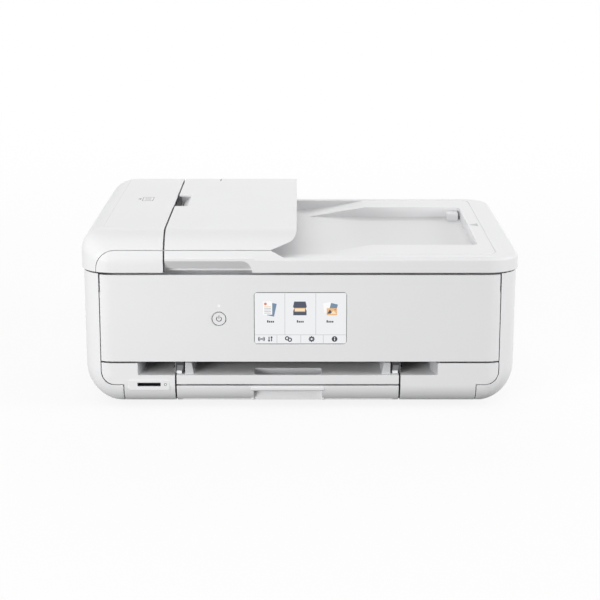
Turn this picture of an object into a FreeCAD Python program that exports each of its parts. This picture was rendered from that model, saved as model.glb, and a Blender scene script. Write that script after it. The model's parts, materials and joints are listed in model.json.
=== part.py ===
"""Inkjet printer with a scanner, a document feeder, a paper cassette and a tilting control panel.

Millimetres. X runs to the right, Y to the back and Z up; the origin is on the table, under the middle.
"""
import FreeCAD, Part
import math
import os
import re

import Sketcher
from FreeCAD import Rotation, Vector

SIZES = {
    # Overall box and the main horizontal seam between case and lid
    "total_width": 468,
    "total_depth": 366,
    "total_height": 193,
    "case_inset": 2,
    "front_step": 1,
    "foot_height": 5,
    "foot_radius": 10,
    "foot_inset_x": 23,
    "foot_inset_y": 20,
    "cover_height": 43.4,
    "seam_gap": 1.8,
    "wall": 2.5,
    # Rounded edges of the case
    "corner_radius": 33,
    "rear_corner": 25,
    "side_roll": 40,
    "front_roll": 21.5,
    "rear_roll": 14,
    "floor_rim": 33,
    "floor_margin": 4,
    "ledge_width": 8,
    "ledge_inset": 42,
    "ledge_length": 50,
    "ledge_thick": 5,
    # Clearances: visible seams, seated pieces, sliding pieces and turning pins
    "seam": 0.9,
    "seat_gap": 0.3,
    "slide_gap": 0.3,
    "pin_gap": 0.05,
    "overrun": 1,
    # Front fascia, paper slot and card slot
    "fascia_margin": 18,
    "fascia_low": 26.5,
    "fascia_corner": 14,
    "tongue_step": 24.2,
    "slot_low": 37.7,
    "slot_margin": 15.8,
    "slot_shift": 0.45,
    "slot_slant": 6,
    "shelf_depth": 72,
    "panel_low": 51.8,
    "card_inset": 27.7,
    "card_width": 25,
    "card_height": 4,
    "card_z": 27.4,
    "card_depth": 32,
    "card_plate_width": 44.3,
    "card_plate_height": 10.7,
    "card_plate_rise": 0.5,
    "card_plate_corner": 2,
    "card_rim": 0.8,
    "card_gap": 1,
    "lamp_offset": 17.5,
    "lamp_radius": 1.2,
    # Control panel
    "panel_jog": 0.6,
    "pivot_drop": 21,
    "pivot_inset": 5.8,
    "pivot_radius": 2,
    "pivot_ring": 2.8,
    "pivot_margin": 22,
    "pivot_arm": 4,
    "beam_front": 10,
    "beam_back": 18,
    "back_margin": 26,
    "back_sill": 4.2,
    "back_rise": 5.4,
    "panel_depth": 10.5,
    "screen_x": 0.5,
    "screen_drop": 49,
    "screen_width": 99,
    "screen_height": 57,
    "screen_corner": 4,
    "display_border": 4,
    "glass_gap": 0.2,
    "button_x": -86.2,
    "button_sink": 0.4,
    "button_radius": 7.5,
    "button_depth": 4,
    "button_edge": 0.6,
    "light_rise": 13.8,
    "light_radius": 1.2,
    "light_depth": 2,
    # Paper bay: cassette below, output tray above
    "bezel_width": 56.4,
    "bay_half": 120.25,
    "cassette_top": 25.7,
    "cassette_side": 6.5,
    "cassette_margin": 43,
    "cassette_wall_top": 24,
    "cassette_floor": 2,
    "grip_half": 36.5,
    "grip_lip": 5.7,
    "grip_depth": 9,
    "lip_round_low": 2,
    "lip_round_top": 1,
    "tray_low": 27.6,
    "tray_back": -2,
    "tray_plate": 2,
    "scoop_half": 36.2,
    "scoop_front": 3,
    "scoop_back": 28,
    "scoop_depth": 8,
    "scoop_corner": 6,
    "skid_inset": 8,
    "skid_half": 4,
    "fence_inset": 9.9,
    "fence_base": 9.5,
    "fence_slope": 2.5,
    "fence_back": 160,
    "heel_width": 2.6,
    "heel_height": 3,
    "rail_thick": 4,
    "rail_flange": 2,
    "flange_reach": 12,
    "rail_overlap": 5,
    "guide_height": 12,
    "guide_length": 120,
    "guide_half": 106,
    "guide_y": -20,
    "guide_foot": 30,
    "guide_plate": 1.5,
    # Inner deck over the output path
    "deck_z": 60,
    "deck_front": 16,
    "deck_back": -16,
    # Print mechanism
    "sheet": 1.5,
    "chassis_margin": 24,
    "chassis_low": 28,
    "chassis_gap": 8,
    "chassis_front": -4,
    "chassis_back": 101.5,
    "side_drop": 10,
    "post_margin_left": 28,
    "post_shift": 2.45,
    "post_front": 64,
    "post_rear": 90,
    "post_radius": 6,
    "screw_radius": 1.5,
    "screw_head": 3.2,
    "screw_length": 12,
    "shaft_y": 84,
    "shaft_z": 64,
    "shaft_radius": 5,
    "carriage_park": 58,
    "carriage_half": 38,
    "carriage_front": 16,
    "carriage_rear": 74,
    "carriage_low": 54,
    "carriage_gap": 14,
    "carriage_wall": 2,
    "dip_height": 20,
    "head_front": 8,
    "head_rear": 12,
    "collar_wall": 3,
    "clamp_half": 8,
    "clamp_thick": 2,
    "tank_depth": 50,
    "tank_drop": 2,
    "tank_gap": 0.8,
    "tank_edge_front": 4,
    "tank_edge_back": 2,
    "platen_margin_left": 28,
    "platen_margin_right": 98,
    "platen_front": 18,
    "platen_rear": 58,
    "platen_top": 46,
    "rib_height": 4,
    "rib_thick": 1.6,
    "cap_margin": 8,
    "deck_margin": 4,
    "head_gap": 0.8,
    "pulley_margin": 16,
    "pulley_drop": 14,
    "pulley_radius": 8,
    "pulley_bore": 2,
    "belt_thick": 1.2,
    "belt_width": 4,
    "belt_offset": 1.5,
    "motor_radius": 14,
    "motor_length": 28,
    "gear_module": 1,
    "gear_width": 7,
    "gear_gap": 1,
    "backlash": 0.3,
    "feed_teeth": 40,
    "idler_teeth": 32,
    "eject_teeth": 24,
    "pinion_teeth": 12,
    "pinion_angle": 130,
    "reach_teeth": 62,
    "feed_z": 47,
    "feed_radius": 6,
    "feed_journal": 4,
    "eject_y": 8,
    "eject_z": 45,
    "eject_radius": 5,
    "eject_journal": 3,
    "ring_margin": 30,
    "ring_half": 6,
    "idler_stud": 3,
    "feed_motor_radius": 12,
    "feed_motor_length": 26,
    "motor_shaft": 1.5,
    "shaft_clear": 1,
    "pickup_y": 140,
    "pickup_z": 36,
    "pickup_radius": 9,
    "pickup_shaft": 2.5,
    "pickup_axle_half": 26,
    "pickup_wheel_x": 15,
    "pickup_wheel_half": 9,
    "pickup_arm_half": 4,
    "pickup_arm_reach": 6,
    # Rear feed
    "rear_margin": 67,
    "rear_low": 70,
    "rear_gap": 3,
    "rear_bed_low": 43,
    "rear_bed_thick": 3,
    "gate_height": 10,
    "support_margin": 55,
    "support_thick": 3,
    "support_hold": 8,
    # Electronics
    "supply_gap": 6.9,
    "supply_margin": 2,
    "supply_front": -140,
    "supply_back": 8,
    "supply_top": 33,
    "supply_edge": 2,
    "board_margin": 2,
    "board_gap": 4.6,
    "board_front": -130,
    "board_back": 25,
    "board_lift": 4.5,
    "board_thick": 1.6,
    "stand_radius": 3,
    "stand_inset": 6,
    "inlet_z": 32,
    "inlet_width": 26,
    "inlet_height": 18,
    "usb_margin": 72,
    "usb_z": 32,
    "usb_width": 14,
    "usb_height": 12,
    "socket_depth": 16,
    "socket_wall": 3,
    "contact_radius": 1.2,
    "contact_inset": 5,
    # Scanner unit
    "scan_side_gap": 3.5,
    "scan_front": 28,
    "leaf_gap": 1,
    "scan_height": 30.6,
    "scan_seat": 1,
    "scan_corner": 16,
    "scan_deck": 4,
    "glass_margin": 66,
    "glass_half_y": 118,
    "glass_thick": 2.8,
    "glass_ledge": 6,
    "strip_inset": 43,
    "strip_half": 12,
    "head_half": 10,
    "head_lift": 10,
    "head_space": 0.6,
    "scan_rail_half": 4,
    # Hinge line of the scanner and the document cover
    "hinge_inset": 5.5,
    "hinge_rise": 2.4,
    "shelf_drop": 2,
    "hinge_radius": 3,
    "hinge_ring": 4.5,
    "hinge_margin": 62,
    "hinge_leaf": 5,
    "hinge_space": 1,
    "hinge_heel": 3,
    "leaf_drop": 8,
    "knuckle_reach": 4,
    # Document cover
    "rear_strip": 12,
    "lid_rise": 17.1,
    "lid_corner": 35,
    "lid_edge": 4,
    "trough_depth": 11.7,
    "trough_inset": 6,
    "trough_margin": 39.5,
    "trough_front": -115,
    "trough_back": 110,
    "wide_inset_front": 18,
    "wide_inset_back": 14,
    "ramp_foot": 12,
    "ramp_head": 79,
    "trough_corner": 8,
    "stop_width": 16,
    "stop_height": 8,
    "stop_gap": 3,
    "groove_margin": 24,
    "groove_corner": 12,
    "groove_width": 1.2,
    "groove_depth": 0.6,
    "recess_inset": 0.9,
    "recess_right": -50.7,
    "recess_drop": 3.6,
    "recess_sill": 4.2,
    "recess_depth": 12,
    "recess_lean": 7.4,
    "recess_corner": 12,
    "recess_roof": 1,
    "hairline": 0.01,
    "liner_thick": 2,
    "pad_margin_x": 9,
    "pad_margin_y": 8,
    # Document feeder
    "feeder_right": -3.7,
    "feeder_roll_front": 34,
    "feeder_roll_left": 23,
    "feeder_roll_back": 8,
    "feeder_width": 90,
    "feeder_seam": 1.8,
    "strip_gap": 0.5,
    "strip_rise": 24,
    "strip_margin": 18,
    "strip_right": -31,
    "strip_corner": 20,
    "strip_slope": 18,
    "tray_cut": 8,
    "flap_round": 11,
    "notch_width": 14.5,
    "notch_front": -24,
    "notch_back": 48,
    "bed_drop": 15.5,
    "bed_thick": 2.5,
    "bed_right": -24,
    "bed_gap": 11,
    "riser_gap": 2,
    "riser_thick": 3,
    "notch_floor": 2,
    "frame_margin": 19,
    "frame_rise": 18.4,
    "exit_sill": 2,
    "exit_roof": 3,
    "exit_inset": 6,
    "exit_margin": 10,
    "flap_x": -9,
    "flap_drop": 6,
    "flap_pin": 2,
    "flap_ring": 3,
    "flap_inset": 4,
    "lug_inset": 7,
    "lug_width": 5,
    "arm_width": 6,
    "post_width": 6,
    "pick_reach": 24,
    "pick_rise": 0.5,
    "pick_radius": 8,
    "pick_half": 24,
    "drive_reach": 52,
    "drive_sink": 0.5,
    "drive_radius": 7,
    "roller_shaft": 3,
    "plate_inset": 29,
    "drive_margin": 8,
    "docguide_inset": 24,
    "docguide_length": 70,
    "docguide_reach": 13,
    "docguide_gap": 5,
    "docguide_foot": 14,
    "docguide_plate": 1.5,
}

# Places that follow from the sizes, so that pieces which fit together move together
PLACES = {
    "case_half": "total_width / 2 - case_inset",
    "front": "front_step - total_depth / 2",
    "back": "total_depth / 2",
    "rim": "seam_height - seam_gap / 2",
    "floor_top": "foot_height + wall",
    "floor_half": "case_half - side_roll - floor_margin",
    "floor_front": "front + front_roll",
    "floor_back": "back - floor_rim",
    "inner_front": "front + wall",
    "inner_back": "back - wall",
    "lid_low": "seam_height + seam_gap / 2",
    "lid_front": "-total_depth / 2",
    "lid_back": "back - rear_strip",
    "lid_half": "total_width / 2",
    "bay_left": "bay_x - bay_half",
    "bay_right": "bay_x + bay_half",
    "pivot_y": "front + pivot_inset",
    "hinge_y": "lid_back - hinge_inset",
    "hinge_end": "hinge_x + hinge_leaf * 3 + hinge_space * 4",
    "far": "total_width",
    "gear_out": "-chassis_half - gear_gap - gear_width",
    "gear_in": "-chassis_half - gear_gap",
    "scan_front_y": "front + scan_front",
    "cover_right": "feeder_seam_x - feeder_seam / 2",
    "tray_left": "feeder_seam_x + feeder_seam / 2",
    "seam_height": "total_height - cover_height",
    "lid_top": "seam_height + lid_rise",
    "trough_floor": "lid_top - trough_depth",
    "recess_top": "lid_top - recess_drop",
    "recess_line": "seam_height + recess_sill",
    "strip_top": "seam_height + strip_rise",
    "tray_cut_z": "total_height - tray_cut",
    "flap_run": "feeder_right - strip_right",
    "flap_rise": "tray_cut_z - strip_top - strip_gap",
    "flap_slant": "(flap_run * flap_run + flap_rise * flap_rise) ^ (1 / 2)",
    "flap_round_x": "feeder_right - flap_round * (1 - flap_rise / flap_slant)",
    "flap_round_z": "tray_cut_z + flap_round * (flap_slant - flap_rise) / flap_run",
    "bed_z": "total_height - bed_drop",
    "frame_top": "seam_height + frame_rise",
    "exit_low": "trough_floor + exit_sill",
    "exit_high": "bed_z - bed_thick - exit_roof",
    "flap_z": "total_height - flap_drop",
    "pick_z": "bed_z + pick_rise",
    "drive_z": "bed_z - drive_sink",
    "docguide_top": "total_height - docguide_gap",
    "hinge_z": "seam_height + hinge_rise",
    "scan_top": "seam_height - scan_seat",
    "scan_low": "scan_top - scan_height",
    "head_low": "scan_low + head_lift",
    "head_top": "scan_top - scan_deck - head_space",
    "pivot_z": "seam_height - pivot_drop",
    "panel_back_top": "pivot_z + back_rise",
    "panel_back_low": "panel_low + back_sill",
    "screen_z": "seam_height - screen_drop",
    "button_z": "screen_z - button_sink",
    "light_z": "screen_z + light_rise",
    "chassis_top": "scan_low - chassis_gap",
    "chassis_side_top": "chassis_top - side_drop",
    "carriage_top": "scan_low - carriage_gap",
    "tank_height": "carriage_top - carriage_low - carriage_wall * 2 - tank_drop",
    "pulley_z": "carriage_top - pulley_drop",
    "rear_top": "seam_height - seam_gap / 2 - rear_gap",
    "feed_y": "eject_y + gear_module * reach_teeth",
    "fascia_half": "case_half - fascia_margin",
    "tongue_half": "fascia_half - tongue_step",
    "bay_x": "bay_half + bezel_width - tongue_half",
    "slot_left": "tongue_half - slot_margin",
    "slot_right": "(bay_x + bay_half + tongue_half) / 2 - slot_shift",
    "card_x": "card_inset - tongue_half",
    "lamp_x": "card_x + lamp_offset",
    "panel_back_half": "fascia_half - back_margin",
    "pivot_x": "fascia_half - pivot_margin",
    "chassis_half": "case_half - chassis_margin",
    "post_left": "floor_half - post_margin_left",
    "post_right": "(bay_x + bay_half + floor_half) / 2 + post_shift",
    "carriage_x": "chassis_half - carriage_park",
    "platen_left": "chassis_half - platen_margin_left",
    "platen_right": "chassis_half - platen_margin_right",
    "pulley_x": "chassis_half - pulley_margin",
    "foot_x": "floor_half - foot_inset_x",
    "foot_y": "floor_back - foot_inset_y",
    "supply_left": "bay_x + bay_half + supply_gap",
    "supply_right": "floor_half - supply_margin",
    "board_left": "board_margin - floor_half",
    "board_right": "bay_x - bay_half - board_gap",
    "inlet_x": "side_roll - case_half",
    "usb_x": "case_half - usb_margin",
    "rear_half": "case_half - rear_margin",
    "support_half": "rear_half - support_margin",
    "scan_half": "case_half - wall - scan_side_gap",
    "glass_half_x": "scan_half - glass_margin",
    "strip_x": "strip_inset - scan_half",
    "pad_half_x": "glass_half_x - pad_margin_x",
    "pad_half_y": "glass_half_y - pad_margin_y",
    "hinge_x": "case_half - hinge_margin",
    "trough_right": "lid_half - trough_margin",
    "groove_right": "lid_half - groove_margin",
    "feeder_seam_x": "feeder_width - lid_half",
    "trough_left": "feeder_seam_x + trough_inset",
    "recess_left": "feeder_seam_x + recess_inset",
    "strip_left": "strip_margin - lid_half",
    "frame_left": "frame_margin - lid_half",
    "pick_x": "feeder_seam_x - pick_reach",
    "drive_x": "feeder_seam_x - drive_reach",
    "docguide_x": "feeder_seam_x + docguide_inset",
    "cassette_back": "back - cassette_margin",
    "rail_back": "cassette_back + rail_overlap",
    "ledge_front": "front + ledge_inset",
    "ledge_back": "ledge_front + ledge_length",
    "scan_back": "hinge_y - hinge_ring - leaf_gap",
    "trough_wide_front": "lid_front + wide_inset_front",
    "trough_wide_back": "lid_back - wide_inset_back",
    "bed_half": "hinge_y - hinge_ring - bed_gap",
    "flap_y": "bed_half - flap_inset",
    "roller_plate": "bed_half - plate_inset",
    "exit_half": "roller_plate - exit_inset",
    "docguide_y": "roller_plate - docguide_reach",
}

doc = FreeCAD.newDocument("printer")
sheet = doc.addObject("Spreadsheet::Sheet", "sizes")
for row, (alias, size) in enumerate(SIZES.items(), start=1):
    sheet.set(f"A{row}", alias)
    sheet.set(f"B{row}", str(size))
    sheet.setAlias(f"B{row}", alias)
doc.recompute()

WORD = re.compile(r"[a-z][a-z0-9_]*")
nodes = []


# Formulas are written with the sheet's plain names; a pair of them is a low and a high limit.
def spelled(formula):
    """A formula with each place written out in sizes."""
    def resolve(word):
        name = word.group(0)
        return f"({spelled(PLACES[name])})" if name in PLACES else name
    return WORD.sub(resolve, formula)


def bound(formula):
    return WORD.sub(lambda word: "sizes." + word.group(0), spelled(formula))


def number(formula):
    return float(sheet.evalExpression(spelled(formula)))


def about(centre, half):
    return f"({centre}) - ({half})", f"({centre}) + ({half})"


def both(half):
    return f"-({half})", f"({half})"


def sided(sign, low, high):
    return (low, high) if sign > 0 else (f"-({high})", f"-({low})")


def box(name, x, y, z):
    made = doc.addObject("Part::Box", name)
    for length, axis, (low, high) in zip(("Length", "Width", "Height"), "xyz", (x, y, z)):
        made.setExpression(length, bound(f"({high}) - ({low})"))
        made.setExpression("Placement.Base." + axis, bound(low))
    return made


def rod(name, axis, radius, span, across):
    """A cylinder along one axis; across holds the other two coordinates in X, Y, Z order."""
    made = doc.addObject("Part::Cylinder", name)
    made.setExpression("Radius", bound(radius))
    made.setExpression("Height", bound(f"({span[1]}) - ({span[0]})"))
    direction = {"x": Vector(1, 0, 0), "y": Vector(0, 1, 0), "z": Vector(0, 0, 1)}[axis]
    made.Placement.Rotation = Rotation(Vector(0, 0, 1), direction)
    others = list(across)
    for name_of_axis in "xyz":
        place = span[0] if name_of_axis == axis else others.pop(0)
        made.setExpression("Placement.Base." + name_of_axis, bound(place))
    return made


def prism(name, plane, points, span):
    """A straight-sided outline in the plane XY, XZ or YZ, raised along the third axis over a span."""
    body = doc.addObject("PartDesign::Body", name)
    origin_plane = next(f for f in body.Origin.OriginFeatures if f.Role == plane + "_Plane")
    sketch = body.newObject("Sketcher::SketchObject", name + "_sketch")
    sketch.AttachmentSupport = [(origin_plane, "")]
    sketch.MapMode = "FlatFace"
    start = f"-({span[1]})" if plane == "XZ" else span[0]
    sketch.setExpression("AttachmentOffset.Base.z", bound(start))
    corners = [Vector(number(first), number(second), 0) for first, second in points]
    count = len(corners)
    for index, corner in enumerate(corners):
        sketch.addGeometry(Part.LineSegment(corner, corners[(index + 1) % count]))
    for index in range(count):
        sketch.addConstraint(Sketcher.Constraint("Coincident", index, 2, (index + 1) % count, 1))
    for index, (corner, formulas) in enumerate(zip(corners, points)):
        for kind, place, formula in zip(("DistanceX", "DistanceY"), corner, formulas):
            rule = sketch.addConstraint(Sketcher.Constraint(kind, -1, 1, index, 1, place))
            sketch.setExpression(f"Constraints[{rule}]", bound(formula))
    pad = body.newObject("PartDesign::Pad", name + "_pad")
    pad.Profile = sketch
    pad.setExpression("Length", bound(f"({span[1]}) - ({span[0]})"))
    return body


def fuse(name, *pieces):
    made = doc.addObject("Part::MultiFuse", name)
    made.Shapes = list(pieces)
    return made


def common(name, *pieces):
    made = doc.addObject("Part::MultiCommon", name)
    made.Shapes = list(pieces)
    return made


def cut(name, base, *tools):
    made = doc.addObject("Part::Cut", name)
    made.Base = base
    made.Tool = tools[0] if len(tools) == 1 else fuse(name + "_tools", *tools)
    return made


def group(name, *pieces):
    made = doc.addObject("Part::Compound", name)
    made.Links = list(pieces)
    return made


def round_edges(name, base, *rules):
    """Round the edges of a block that lie on two named sides, such as ("left front", radius)."""
    doc.recompute()
    limits = base.Shape.BoundBox
    sides = {
        "left": ("x", limits.XMin), "right": ("x", limits.XMax),
        "front": ("y", limits.YMin), "back": ("y", limits.YMax),
        "low": ("z", limits.ZMin), "top": ("z", limits.ZMax),
    }
    chosen = []
    for index, edge in enumerate(base.Shape.Edges, start=1):
        for words, radius in rules:
            places = [sides[word] for word in words.split()]
            if all(abs(getattr(edge.CenterOfMass, axis) - place) < 0.01 for axis, place in places):
                chosen.append((index, number(radius), number(radius)))
    made = doc.addObject("Part::Fillet", name)
    made.Base = base
    made.Edges = chosen
    return made


def node(label, piece):
    piece.Label = label
    nodes.append(piece)
    return piece


FOUR_CORNERS = ("left low", "right low", "left top", "right top")


# Outer skin of the case: the block with its rounded edges, less the same block one wall smaller
def rounded_case(name, inset, top):
    block = box(name + "_block", both(f"case_half - {inset}"),
                (f"front + {inset}", f"back - {inset}"), (f"foot_height + {inset}", top))
    return round_edges(
        name, block,
        ("left front", f"corner_radius - {inset}"), ("right front", f"corner_radius - {inset}"),
        ("left back", f"rear_corner - {inset}"), ("right back", f"rear_corner - {inset}"),
        ("left low", f"side_roll - {inset}"), ("right low", f"side_roll - {inset}"),
        ("front low", f"front_roll - {inset}"), ("back low", f"rear_roll - {inset}"))


case_form = rounded_case("case_form", "0", "rim")
case_hollow = rounded_case("case_hollow", "wall", "rim + wall * 4")
case_skin = cut("case_skin", case_form, case_hollow)


def fascia_block(name, gap):
    """The inset outline of panel and bezels on the front, shrunk by a gap."""
    upper = box(name + "_upper", both(f"fascia_half - {gap}"),
                ("front - wall * 2", "front + corner_radius"),
                (f"fascia_low + {gap}", "rim + wall * 2"))
    upper_round = round_edges(name + "_upper_round", upper,
                              ("left low", "fascia_corner"), ("right low", "fascia_corner"))
    tongue = box(name + "_tongue", both(f"tongue_half - {gap}"),
                 ("front - wall * 2", f"floor_front - {gap}"), ("0", "fascia_low + fascia_corner"))
    return fuse(name, upper_round, tongue)


# Outer case
def make_outer_case():
    openings = [
        fascia_block("case_fascia_opening", "0"),
        box(
            "case_floor_opening", both("floor_half"), ("floor_front - wall", "floor_back"),
            ("0", "floor_top + wall")),
        box(
            "case_rear_opening", both("rear_half"), ("inner_back - wall", "back + wall"),
            ("rear_low", "rim + wall")),
        box(
            "case_inlet_opening", about("inlet_x", "inlet_width / 2"),
            ("inner_back - wall", "back + wall"), about("inlet_z", "inlet_height / 2")),
        box(
            "case_usb_opening", about("usb_x", "usb_width / 2"),
            ("inner_back - wall", "back + wall"), about("usb_z", "usb_height / 2"))]
    lid_shadow = round_edges(
        "lid_shadow",
        box("lid_shadow_block", both("lid_half + seat_gap"), ("lid_front", "lid_back + seat_gap"),
            ("0", "far")),
        ("left back", "lid_corner"), ("right back", "lid_corner"))
    additions = []
    bores = []
    for side, sign in (("left", -1), ("right", 1)):
        rear_shelf = box(f"rear_shelf_block_{side}", sided(sign, "hinge_end", "case_half"),
                         ("lid_back - lid_corner", "back"), ("rim - shelf_drop - wall", "rim - shelf_drop"))
        additions.append(cut(f"rear_shelf_{side}", rear_shelf, lid_shadow))
        additions.append(
            box(
                f"scanner_ledge_{side}", sided(sign, "scan_half - ledge_width", "case_half"),
                ("ledge_front", "ledge_back"),
                ("scan_low - seat_gap - ledge_thick", "scan_low - seat_gap")))
        additions.append(box(f"pivot_arm_{side}", sided(sign, "pivot_x", "pivot_x + pivot_arm"),
                             ("pivot_y", "pivot_y + beam_back"), about("pivot_z", "pivot_ring - seat_gap")))
        additions.append(
            box(
                f"pivot_beam_{side}", sided(sign, "pivot_x", "case_half"),
                ("pivot_y + beam_front", "pivot_y + beam_back"),
                about("pivot_z", "pivot_ring * 1.5")))
        additions.append(rod(f"pivot_ring_{side}", "x", "pivot_ring",
                             sided(sign, "pivot_x", "pivot_x + pivot_arm"), ("pivot_y", "pivot_z")))
        bores.append(
            rod(
                f"pivot_bore_{side}", "x", "pivot_radius + pin_gap",
                sided(sign, "pivot_x - overrun", "pivot_x + pivot_arm + overrun"), ("pivot_y", "pivot_z")))
    inside = common("case_additions", fuse("case_additions_all", *additions), case_form)
    shell = fuse("case_shell", cut("case_opened", case_skin, *openings), inside)
    node("outer_case", cut("outer_case", shell, *bores))


# Bottom plate with the posts that carry the print chassis, feet below it
def post_places():
    for x in ("-post_left", "post_right"):
        for y in ("post_front", "post_rear"):
            yield x, y


def make_base():
    plate = box("base_sheet", both("floor_half - seam"), ("floor_front + seam", "floor_back - seam"),
                ("foot_height", "floor_top"))
    posts = []
    holes = []
    screws = []
    for index, (x, y) in enumerate(post_places()):
        posts.append(rod(f"post_{index}", "z", "post_radius", ("foot_height", "chassis_low"), (x, y)))
        holes.append(
            rod(f"post_hole_{index}", "z", "screw_radius", ("floor_top", "chassis_low + overrun"), (x, y)))
        shank = rod(f"screw_shank_{index}", "z", "screw_radius",
                    ("chassis_low - screw_length", "chassis_low + sheet"), (x, y))
        head = rod(f"screw_head_{index}", "z", "screw_head",
                   ("chassis_low + sheet", "chassis_low + sheet * 2.5"), (x, y))
        screws.append(fuse(f"screw_{index}", shank, head))
    node("bottom_plate", cut("bottom_plate", fuse("base_with_posts", plate, *posts), *holes))
    node("chassis_screws", group("chassis_screws", *screws))
    feet = []
    for x in ("-foot_x", "foot_x"):
        for y in ("-foot_y", "foot_y"):
            name = f"foot_{len(feet)}"
            block = rod(name, "z", "foot_radius", ("0", "foot_height"), (x, y))
            feet.append(round_edges(name + "_round", block, ("low", "foot_height / 4")))
    node("rubber_feet", group("rubber_feet", *feet))


# Front bezels beside the paper bay, with the shelves and slanted end walls of the paper slot
def make_bezels():
    face = common("bezel_face", case_skin, fascia_block("bezel_block", "seam"))
    slot = box("bezel_slot", ("-slot_left", "slot_right"), ("front - wall * 2", "front + shelf_depth"),
               ("slot_low", "far"))
    top = box("bezel_above", both("far"), ("front - wall * 2", "0"), ("panel_low - seam", "far"))
    for side, sign in (("left", -1), ("right", 1)):
        outer = "slot_left" if sign < 0 else "slot_right"
        inner = "-(bay_left) + seam" if sign < 0 else "bay_right + seam"
        region = box(
            f"bezel_region_{side}", sided(sign, inner, "far"), ("front - wall * 2", "0"), ("0", "far"))
        shelf = box(f"bezel_shelf_{side}", sided(sign, inner, f"{outer} + wall"),
                    ("front + wall / 2", "front + shelf_depth"), ("slot_low - wall", "slot_low"))
        mirror = "" if sign > 0 else "-"
        near, far = "front + wall / 2", "front + shelf_depth"
        end_wall = prism(f"bezel_end_{side}", "XY", [
            (f"{mirror}({outer})", near), (f"{mirror}({outer} + wall)", near),
            (f"{mirror}({outer} + wall)", far), (f"{mirror}({outer} - slot_slant)", far),
            (f"{mirror}({outer} - slot_slant)", "front + shelf_depth / 3"),
        ], ("slot_low - wall", "panel_low - seam * 2"))
        pieces = [
            cut(f"bezel_open_{side}", common(f"bezel_cut_{side}", face, region), slot, top), shelf,
            end_wall]
        if sign > 0:
            node("front_bezel_right", fuse("front_bezel_right", *pieces))
            continue
        plate_x = about("card_x", "card_plate_width / 2")
        plate_z = about("card_z - card_height / 6", "card_plate_height / 2")
        plate = round_edges("card_plate", box("card_plate_block", plate_x,
                                              ("front - card_plate_rise", "front + wall"), plate_z),
                            *((side, "card_plate_corner") for side in FOUR_CORNERS))
        pieces.append(plate)
        aperture = box(
            "card_aperture", about("card_x", "card_width / 2"),
            ("front - wall", "front + wall * 2"), about("card_z", "card_height / 2"))
        lamp_hole = rod("lamp_hole", "y", "lamp_radius", ("front - wall", "front + wall * 2"),
                        ("lamp_x", "card_z"))
        node(
            "front_bezel_left",
            cut("front_bezel_left", fuse("bezel_left_all", *pieces), aperture, lamp_hole))


def make_card_slot():
    body_x = about("card_x", "card_width / 2 + wall / 2")
    seat = "inner_front + card_gap"
    housing = box("card_housing", body_x, (seat, "front + card_depth"),
                  about("card_z", "card_height / 2 + wall / 2"))
    mouth = box("card_mouth", about("card_x", "card_width / 2"), ("front", seat),
                about("card_z", "card_height / 2"))
    slit = box(
        "card_slit", about("card_x", "card_width / 2 - card_rim"),
        ("front - overrun", "front + card_depth - wall"),
        about("card_z", "card_height / 2 - card_rim"))
    reader = cut("card_reader", fuse("card_body", housing, mouth), slit)
    lamp = rod("access_lamp", "y", "lamp_radius", ("front - card_plate_rise", "front + wall * 2"),
               ("lamp_x", "card_z"))
    node("card_slot", group("card_slot", reader, lamp))


# Control panel: front cover cut from the skin, back, display, glass, power button and status light
def make_panel():
    lower = box("panel_lower", both("fascia_half - seam"), ("front - wall", "front + corner_radius"),
                ("panel_low + seam", "pivot_z"))
    upper = box(
        "panel_upper", both("fascia_half - seam - panel_jog"),
        ("front - wall", "front + corner_radius"), ("pivot_z", "rim - seam"))
    face = common("panel_face", case_skin, fuse("panel_block", lower, upper))
    screen_x = about("screen_x", "screen_width / 2")
    screen_z = about("screen_z", "screen_height / 2")
    through = ("front - wall", "front + wall * 2")
    four = [(side, "screen_corner") for side in FOUR_CORNERS]
    window = round_edges("panel_window", box("panel_window_block", screen_x, through, screen_z), *four)
    button_hole = rod("button_hole", "y", "button_radius + slide_gap", through, ("button_x", "button_z"))
    light_hole = rod("light_hole", "y", "light_radius", through, ("button_x", "light_z"))
    node("panel_cover", cut("panel_cover", face, window, button_hole, light_hole))

    back_y = ("inner_front", "inner_front + panel_depth")
    outside = box("panel_back_block", both("panel_back_half"), back_y, ("panel_back_low", "panel_back_top"))
    inside = box(
        "panel_back_hollow", both("panel_back_half - wall"),
        ("front", "inner_front + panel_depth - wall"),
        ("panel_back_low + wall", "panel_back_top - wall"))
    pins = [rod(f"panel_pin_{side}", "x", "pivot_radius",
                sided(sign, "panel_back_half - wall", "pivot_x + pivot_arm"), ("pivot_y", "pivot_z"))
            for side, sign in (("left", -1), ("right", 1))]
    node("panel_back", fuse("panel_back", cut("panel_back_shell", outside, inside), *pins))

    display = box("display_module", about("screen_x", "screen_width / 2 + display_border"),
                  ("inner_front", "inner_front + panel_depth - wall"),
                  ("panel_back_low + wall", "panel_back_top - wall"))
    node("display_module", display)
    glass = box(
        "glass_block", about("screen_x", "screen_width / 2 - glass_gap"),
        ("front + seam / 2", "inner_front"), about("screen_z", "screen_height / 2 - glass_gap"))
    node("touch_screen", round_edges("touch_screen", glass, *four))
    cap = rod(
        "button_cap", "y", "button_radius", ("front - seam / 2", "inner_front + button_depth"),
        ("button_x", "button_z"))
    node("power_button", round_edges("power_button", cap, ("front", "button_edge")))
    node("status_light", rod("status_light", "y", "light_radius", ("front", "inner_front + light_depth"),
                             ("button_x", "light_z")))


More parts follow.
